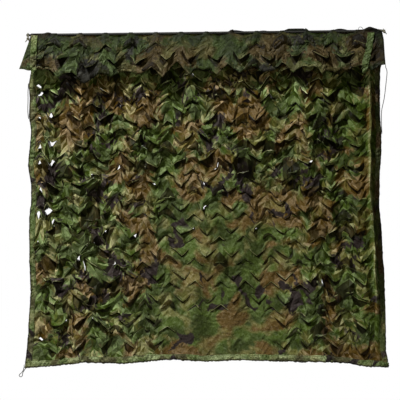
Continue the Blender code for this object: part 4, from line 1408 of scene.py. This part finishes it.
def tube_parts(route, radius, sides=10, sealed=True, flatness=1.0):
    """Points, UV places and faces of a round cord along the route. A sealed end is drawn in to a blunt tip."""
    points, places, faces = [], [], []
    side = (route[1] - route[0]).orthogonal().normalized()
    run = 0.0
    for number, point in enumerate(route):
        before, after = route[max(0, number - 1)], route[min(len(route) - 1, number + 1)]
        direction = (after - before).normalized()
        side = (side - direction * side.dot(direction)).normalized()
        other = direction.cross(side)
        at_end = number in (0, len(route) - 1)
        reach = radius * (TIP_SHARE if at_end and sealed else 1.0)
        for k in range(sides):
            angle = math.tau * k / sides
            points.append(point + side * (reach * math.cos(angle)) + other * (flatness * reach * math.sin(angle)))
            places.append((radius * angle, run))
        run += (after - point).length
    for i in range(len(route) - 1):
        for k in range(sides):
            first, second = i * sides + k, i * sides + (k + 1) % sides
            faces.append((first, second, second + sides, first + sides))
    faces.append(tuple(reversed(range(sides))))
    last = (len(route) - 1) * sides
    faces.append(tuple(last + k for k in range(sides)))
    return points, places, faces


def join_parts(name, parts, material):
    points, places, faces = [], [], []
    for more_points, more_places, more_faces in parts:
        start = len(points)
        points += [tuple(point) for point in more_points]
        places += more_places
        faces += [tuple(start + corner for corner in face) for face in more_faces]
    return add_object(name, sheet_mesh(name, points, places, faces), material)


def edge_point(u, down, out):
    """The middle of a cord that lies this far outside the tape of a side edge."""
    side = -1 if u == 0 else 1
    return Vector(hang(u, down)) + Vector((side * (CORD_SEAT + out), 0, 0))


def add_cord(name, anchors, node, material):
    route = smooth_route(anchors, CORD_RADIUS * 4)
    piece = join_parts(name, [tube_parts(route, CORD_RADIUS)], material)
    ride_on_net(piece, node)
    path = [tuple(point) for point in route[:: max(1, len(route) // 30)]]
    if path[-1] != tuple(route[-1]):
        path.append(tuple(route[-1]))


def ride_on_net(piece, node):
    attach(piece, "root")
    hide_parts(node)


def from_point(point, offsets):
    return [Vector(point) + Vector(offset) for offset in offsets]


def build_cords(dark, soiled):
    left = [edge_point(0, *row) for row in EDGE_CORD_LEFT]
    right = from_point(fall(1, 1), EDGE_CORD_RIGHT_START) + [edge_point(1, *row) for row in EDGE_CORD_RIGHT_END]
    loop = from_point(hang(0, DROP), CORNER_LOOP)
    add_cord("cord_left", left, "edge_cord_left", dark)
    add_cord("cord_right", right, "edge_cord_right", dark)
    add_cord("corner_cord", loop, "corner_loop", soiled)


def turn_round_rod(x):
    """A full turn of cord from the front of the rod, over its top, and back to the front."""
    shares = [step / TURN_STEPS for step in range(TURN_STEPS + 1)]
    return [over_rod(x + TURN_PITCH * share, TIE_TURN_RADIUS, math.tau * (share - 0.25)) for share in shares]


def knot_route(middle, size):
    """An overhand knot, as one closed turn."""
    route = []
    for step in range(37):
        t = math.tau * step / 36
        offset = Vector((
            math.sin(t) + 2 * math.sin(2 * t), -1.1 * math.sin(3 * t), math.cos(t) - 2 * math.cos(2 * t),
        ))
        route.append(Vector(middle) + offset * (size / 3.6))
    return route


def add_tie(name, node, x, ends, knot, material):
    """One length of cord round the rod, knotted, with its two free ends."""
    first, second = ends
    route = smooth_route([*reversed(first), *turn_round_rod(x), *second], TIE_RADIUS * 1.5)
    parts = [tube_parts(route, TIE_RADIUS), tube_parts(knot_route(knot, KNOT_SIZE), KNOT_RADIUS, sealed=False)]
    piece = join_parts(name, parts, material)
    ride_on_net(piece, node)


def add_wire(material):
    arch = [over_rod(x, WIRE_SEAT + lift, math.radians(degrees)) for x, degrees, lift in TWIST_TIE]
    route = smooth_route(arch, WIRE_STEP)
    parts = [tube_parts(route, WIRE_RADIUS, sides=12, flatness=WIRE_FLATNESS)]
    piece = join_parts("wire_loop", parts, material)
    ride_on_net(piece, "twist_tie")


def tape_material(name, print_group, weave, colours, shift, paler):
    """Ribbed tape with the camouflage print and a row of stitches. paler: how far along it starts and ends paling,
    which lifts a painted shade.
    """
    material = cloth_material(name, print_group, weave, colours, TAPE_VIVID, shift=shift, tape=True)
    tree = material.node_tree
    shader = tree.nodes["Principled BSDF"]
    place = flat_place(tree)
    around, along, _ = add_node(tree, "SeparateXYZ", None, Vector=place).outputs
    off = away_from(tree, around, TAPE_STITCH)
    line = maths(tree, "SUBTRACT", 1.0, step_up(tree, off, *STITCH_LINE))
    run = maths(tree, "FRACT", maths(tree, "DIVIDE", along, STITCH_LENGTH))
    dash = maths(tree, "LESS_THAN", run, STITCH_SHARE)
    stitch = times(tree, line, dash)
    colour = shader.inputs["Base Color"].links[0].from_socket
    if paler is not None:
        colour = blend_colour(tree, step_up(tree, along, *paler), colour, LIFTED_TAPE_SHADE, "MULTIPLY")
    # Painted shade on the tape's fold.
    fold_shaded = maths(tree, "SUBTRACT", 1.0, step_up(tree, maths(tree, "ABSOLUTE", around), *FOLD_SHADE_EDGES))
    colour = blend_colour(tree, fold_shaded, colour, TAPE_FOLD_SHADE, "MULTIPLY")
    feed(tree, shader.inputs["Base Color"], blend_colour(tree, stitch, colour, THREAD))
    bump = shader.inputs["Normal"].links[0].from_node
    ribs = add_node(tree, "TexWave", {"bands_direction": "Y"}, Vector=place, Scale=RIB_SCALE).outputs[1]
    height = bump.inputs["Height"].links[0].from_socket
    for relief, depth in ((ribs, RIB_HEIGHT), (stitch, STITCH_HEIGHT)):
        height = maths(tree, "ADD", height, times(tree, relief, depth))
    feed(tree, bump.inputs["Height"], height)
    return material


def cord_material(name, pale, deep_shade):
    """Braided cord: two sets of strands that cross, paler on top, partly from wear and partly as painted highlight,
    with painted shade between them.
    """
    material, tree, shader = new_material(name)
    place = flat_place(tree)
    strands = []
    for slope in (1.0, -1.0):
        slant = slope * math.radians(BRAID_SLANT)
        turned = add_node(tree, "Mapping", None, Vector=place, Rotation=(0.0, 0.0, slant))
        wave = add_node(tree, "TexWave", {"bands_direction": "X"}, Vector=turned.outputs[0], Scale=BRAID_SCALE)
        strands.append(wave.outputs[1])
    braid = times(tree, *strands)
    speckle = noise_at(tree, place, SPECKLE_SCALE, 2.0).outputs[0]
    share = maths(tree, "MULTIPLY_ADD", speckle, SPECKLE_SHARE, times(tree, braid, BRAID_SHARE))
    dress(
        tree, shader, braid, 0.7, 0.0005, Base_Color=blend_colour(tree, step_up(tree, share, 0.25, 0.8), deep_shade, pale),
        Roughness=maths(tree, "MULTIPLY_ADD", speckle, 0.2, 0.62), Sheen_Weight=0.10, Specular_IOR_Level=0.25,
    )
    return material


def steel_material(name, coat, bare, scratch):
    """Dark painted steel, rubbed through in fine streaks along its length. scratch: how much of it is whole."""
    material, tree, shader = new_material(name)
    place = add_node(tree, "TexCoord").outputs["Object"]
    long = add_node(tree, "Mapping", None, Vector=place, Scale=(0.08, 1.0, 1.0)).outputs[0]
    streaks = noise_at(tree, long, 900.0, 3.0).outputs[0]
    blotches = noise_at(tree, place, 28.0, 4.0).outputs[0]
    worn = step_up(tree, times(tree, streaks, blotches), scratch, scratch + 0.08)
    dress(
        tree, shader, streaks, 0.3, 0.0002, Base_Color=blend_colour(tree, worn, coat, bare),
        Metallic=times(tree, worn, 0.7), Roughness=maths(tree, "MULTIPLY_ADD", blotches, 0.3, 0.28),
    )
    return material


def place_in_scene(name, data, place):
    thing = bpy.data.objects.new(name, data)
    bpy.context.scene.collection.objects.link(thing)
    thing.location = place
    return thing


def camera_and_light():
    """A long lens level with the net's middle, lamps at the upper left, low in front and behind, and a pale room."""
    lens = bpy.data.cameras.new("camera")
    lens.sensor_width, lens.lens = 36.0, LENS
    camera = place_in_scene("camera", lens, CAMERA_PLACE)
    camera.rotation_euler = (math.pi / 2, 0.0, 0.0)
    bpy.context.scene.camera = camera
    bpy.context.scene.view_settings.view_transform = "Standard"
    for name, place, size, power, colour in LAMPS:
        data = bpy.data.lights.new(name, "AREA")
        data.shape, data.size, data.energy, data.color = "DISK", size, power, colour
        lamp = place_in_scene(name, data, place)
        lamp.rotation_euler = (Vector(AIM) - Vector(place)).to_track_quat("-Z", "Y").to_euler()
    world = bpy.data.worlds.new("studio")
    bpy.context.scene.world = world
    world.use_nodes = True
    tree = world.node_tree
    background = tree.nodes["Background"]
    path = add_node(tree, "LightPath")
    background.inputs["Color"].default_value = (1.0, 1.0, 1.0, 1.0)
    strength = maths(tree, "MULTIPLY_ADD", path.outputs["Is Camera Ray"], 1.0 - AMBIENT, AMBIENT)
    feed(tree, background.inputs["Strength"], strength)


def build_floor():
    bpy.ops.object.select_all(action="DESELECT")
    bpy.ops.mesh.primitive_plane_add(size=1.0, location=FLOOR_PLACE)
    floor = bpy.context.active_object
    floor.name, floor.scale = "floor", FLOOR_SIZE
    material, _, shader = new_material("pale_floor")
    shader.inputs["Base Color"].default_value = FLOOR_COLOUR
    shader.inputs["Roughness"].default_value = 0.8
    floor.data.materials.append(material)


def main():
    camera_and_light()
    build_floor()
    groups = camouflage_group(), weave_group()
    cloths = [cloth_material(name, *groups, CLOTH_PRINT, vivid, wash) for name, wash, vivid in CLOTHS]
    hanging, flap = main_leg(), flap_leg()
    net = add_object("cut_cloth", build_net(hanging, flap), *cloths)
    thicken(net, CLOTH, reverse=1)
    ride_on_net(net, "net")

    taped, shaded, hemmed, strapped = (tape_material(name, *groups, *rest) for name, *rest in TAPES)
    tapes = [
        (side_tape("tape_left", hanging, True, 5.5, taped), "binding_left"),
        (side_tape("tape_right", hanging, False, 9.5, shaded), "binding_right"),
        (bottom_tape("tape_bottom", hanging, hemmed), "binding_bottom"),
        (flap_strip("strip_left", flap, STRIP_LEFT, STRIP_WIDTHS[0], 2.5, taped), "flap_tape_left"),
        (flap_strip("strip_right", flap, STRIP_RIGHT, STRIP_WIDTHS[1], 6.5, strapped), "flap_tape_right"),
    ]
    for tape, node in tapes:
        ride_on_net(tape, node)

    dark, khaki, soiled = (cord_material(*row) for row in CORDS)
    build_cords(dark, soiled)
    add_tie("rod_tie_left", "tie_left", TIE_LEFT_X, TIE_LEFT_ENDS, TIE_LEFT_KNOT, khaki)
    add_tie("rod_tie_right", "tie_right", TIE_RIGHT_X, TIE_RIGHT_ENDS, TIE_RIGHT_KNOT, khaki)
    add_wire(steel_material(*WIRE_STEEL))
    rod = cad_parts["rod"]
    rod.data.materials.clear()
    rod.data.materials.append(steel_material(*ROD_STEEL))


main()
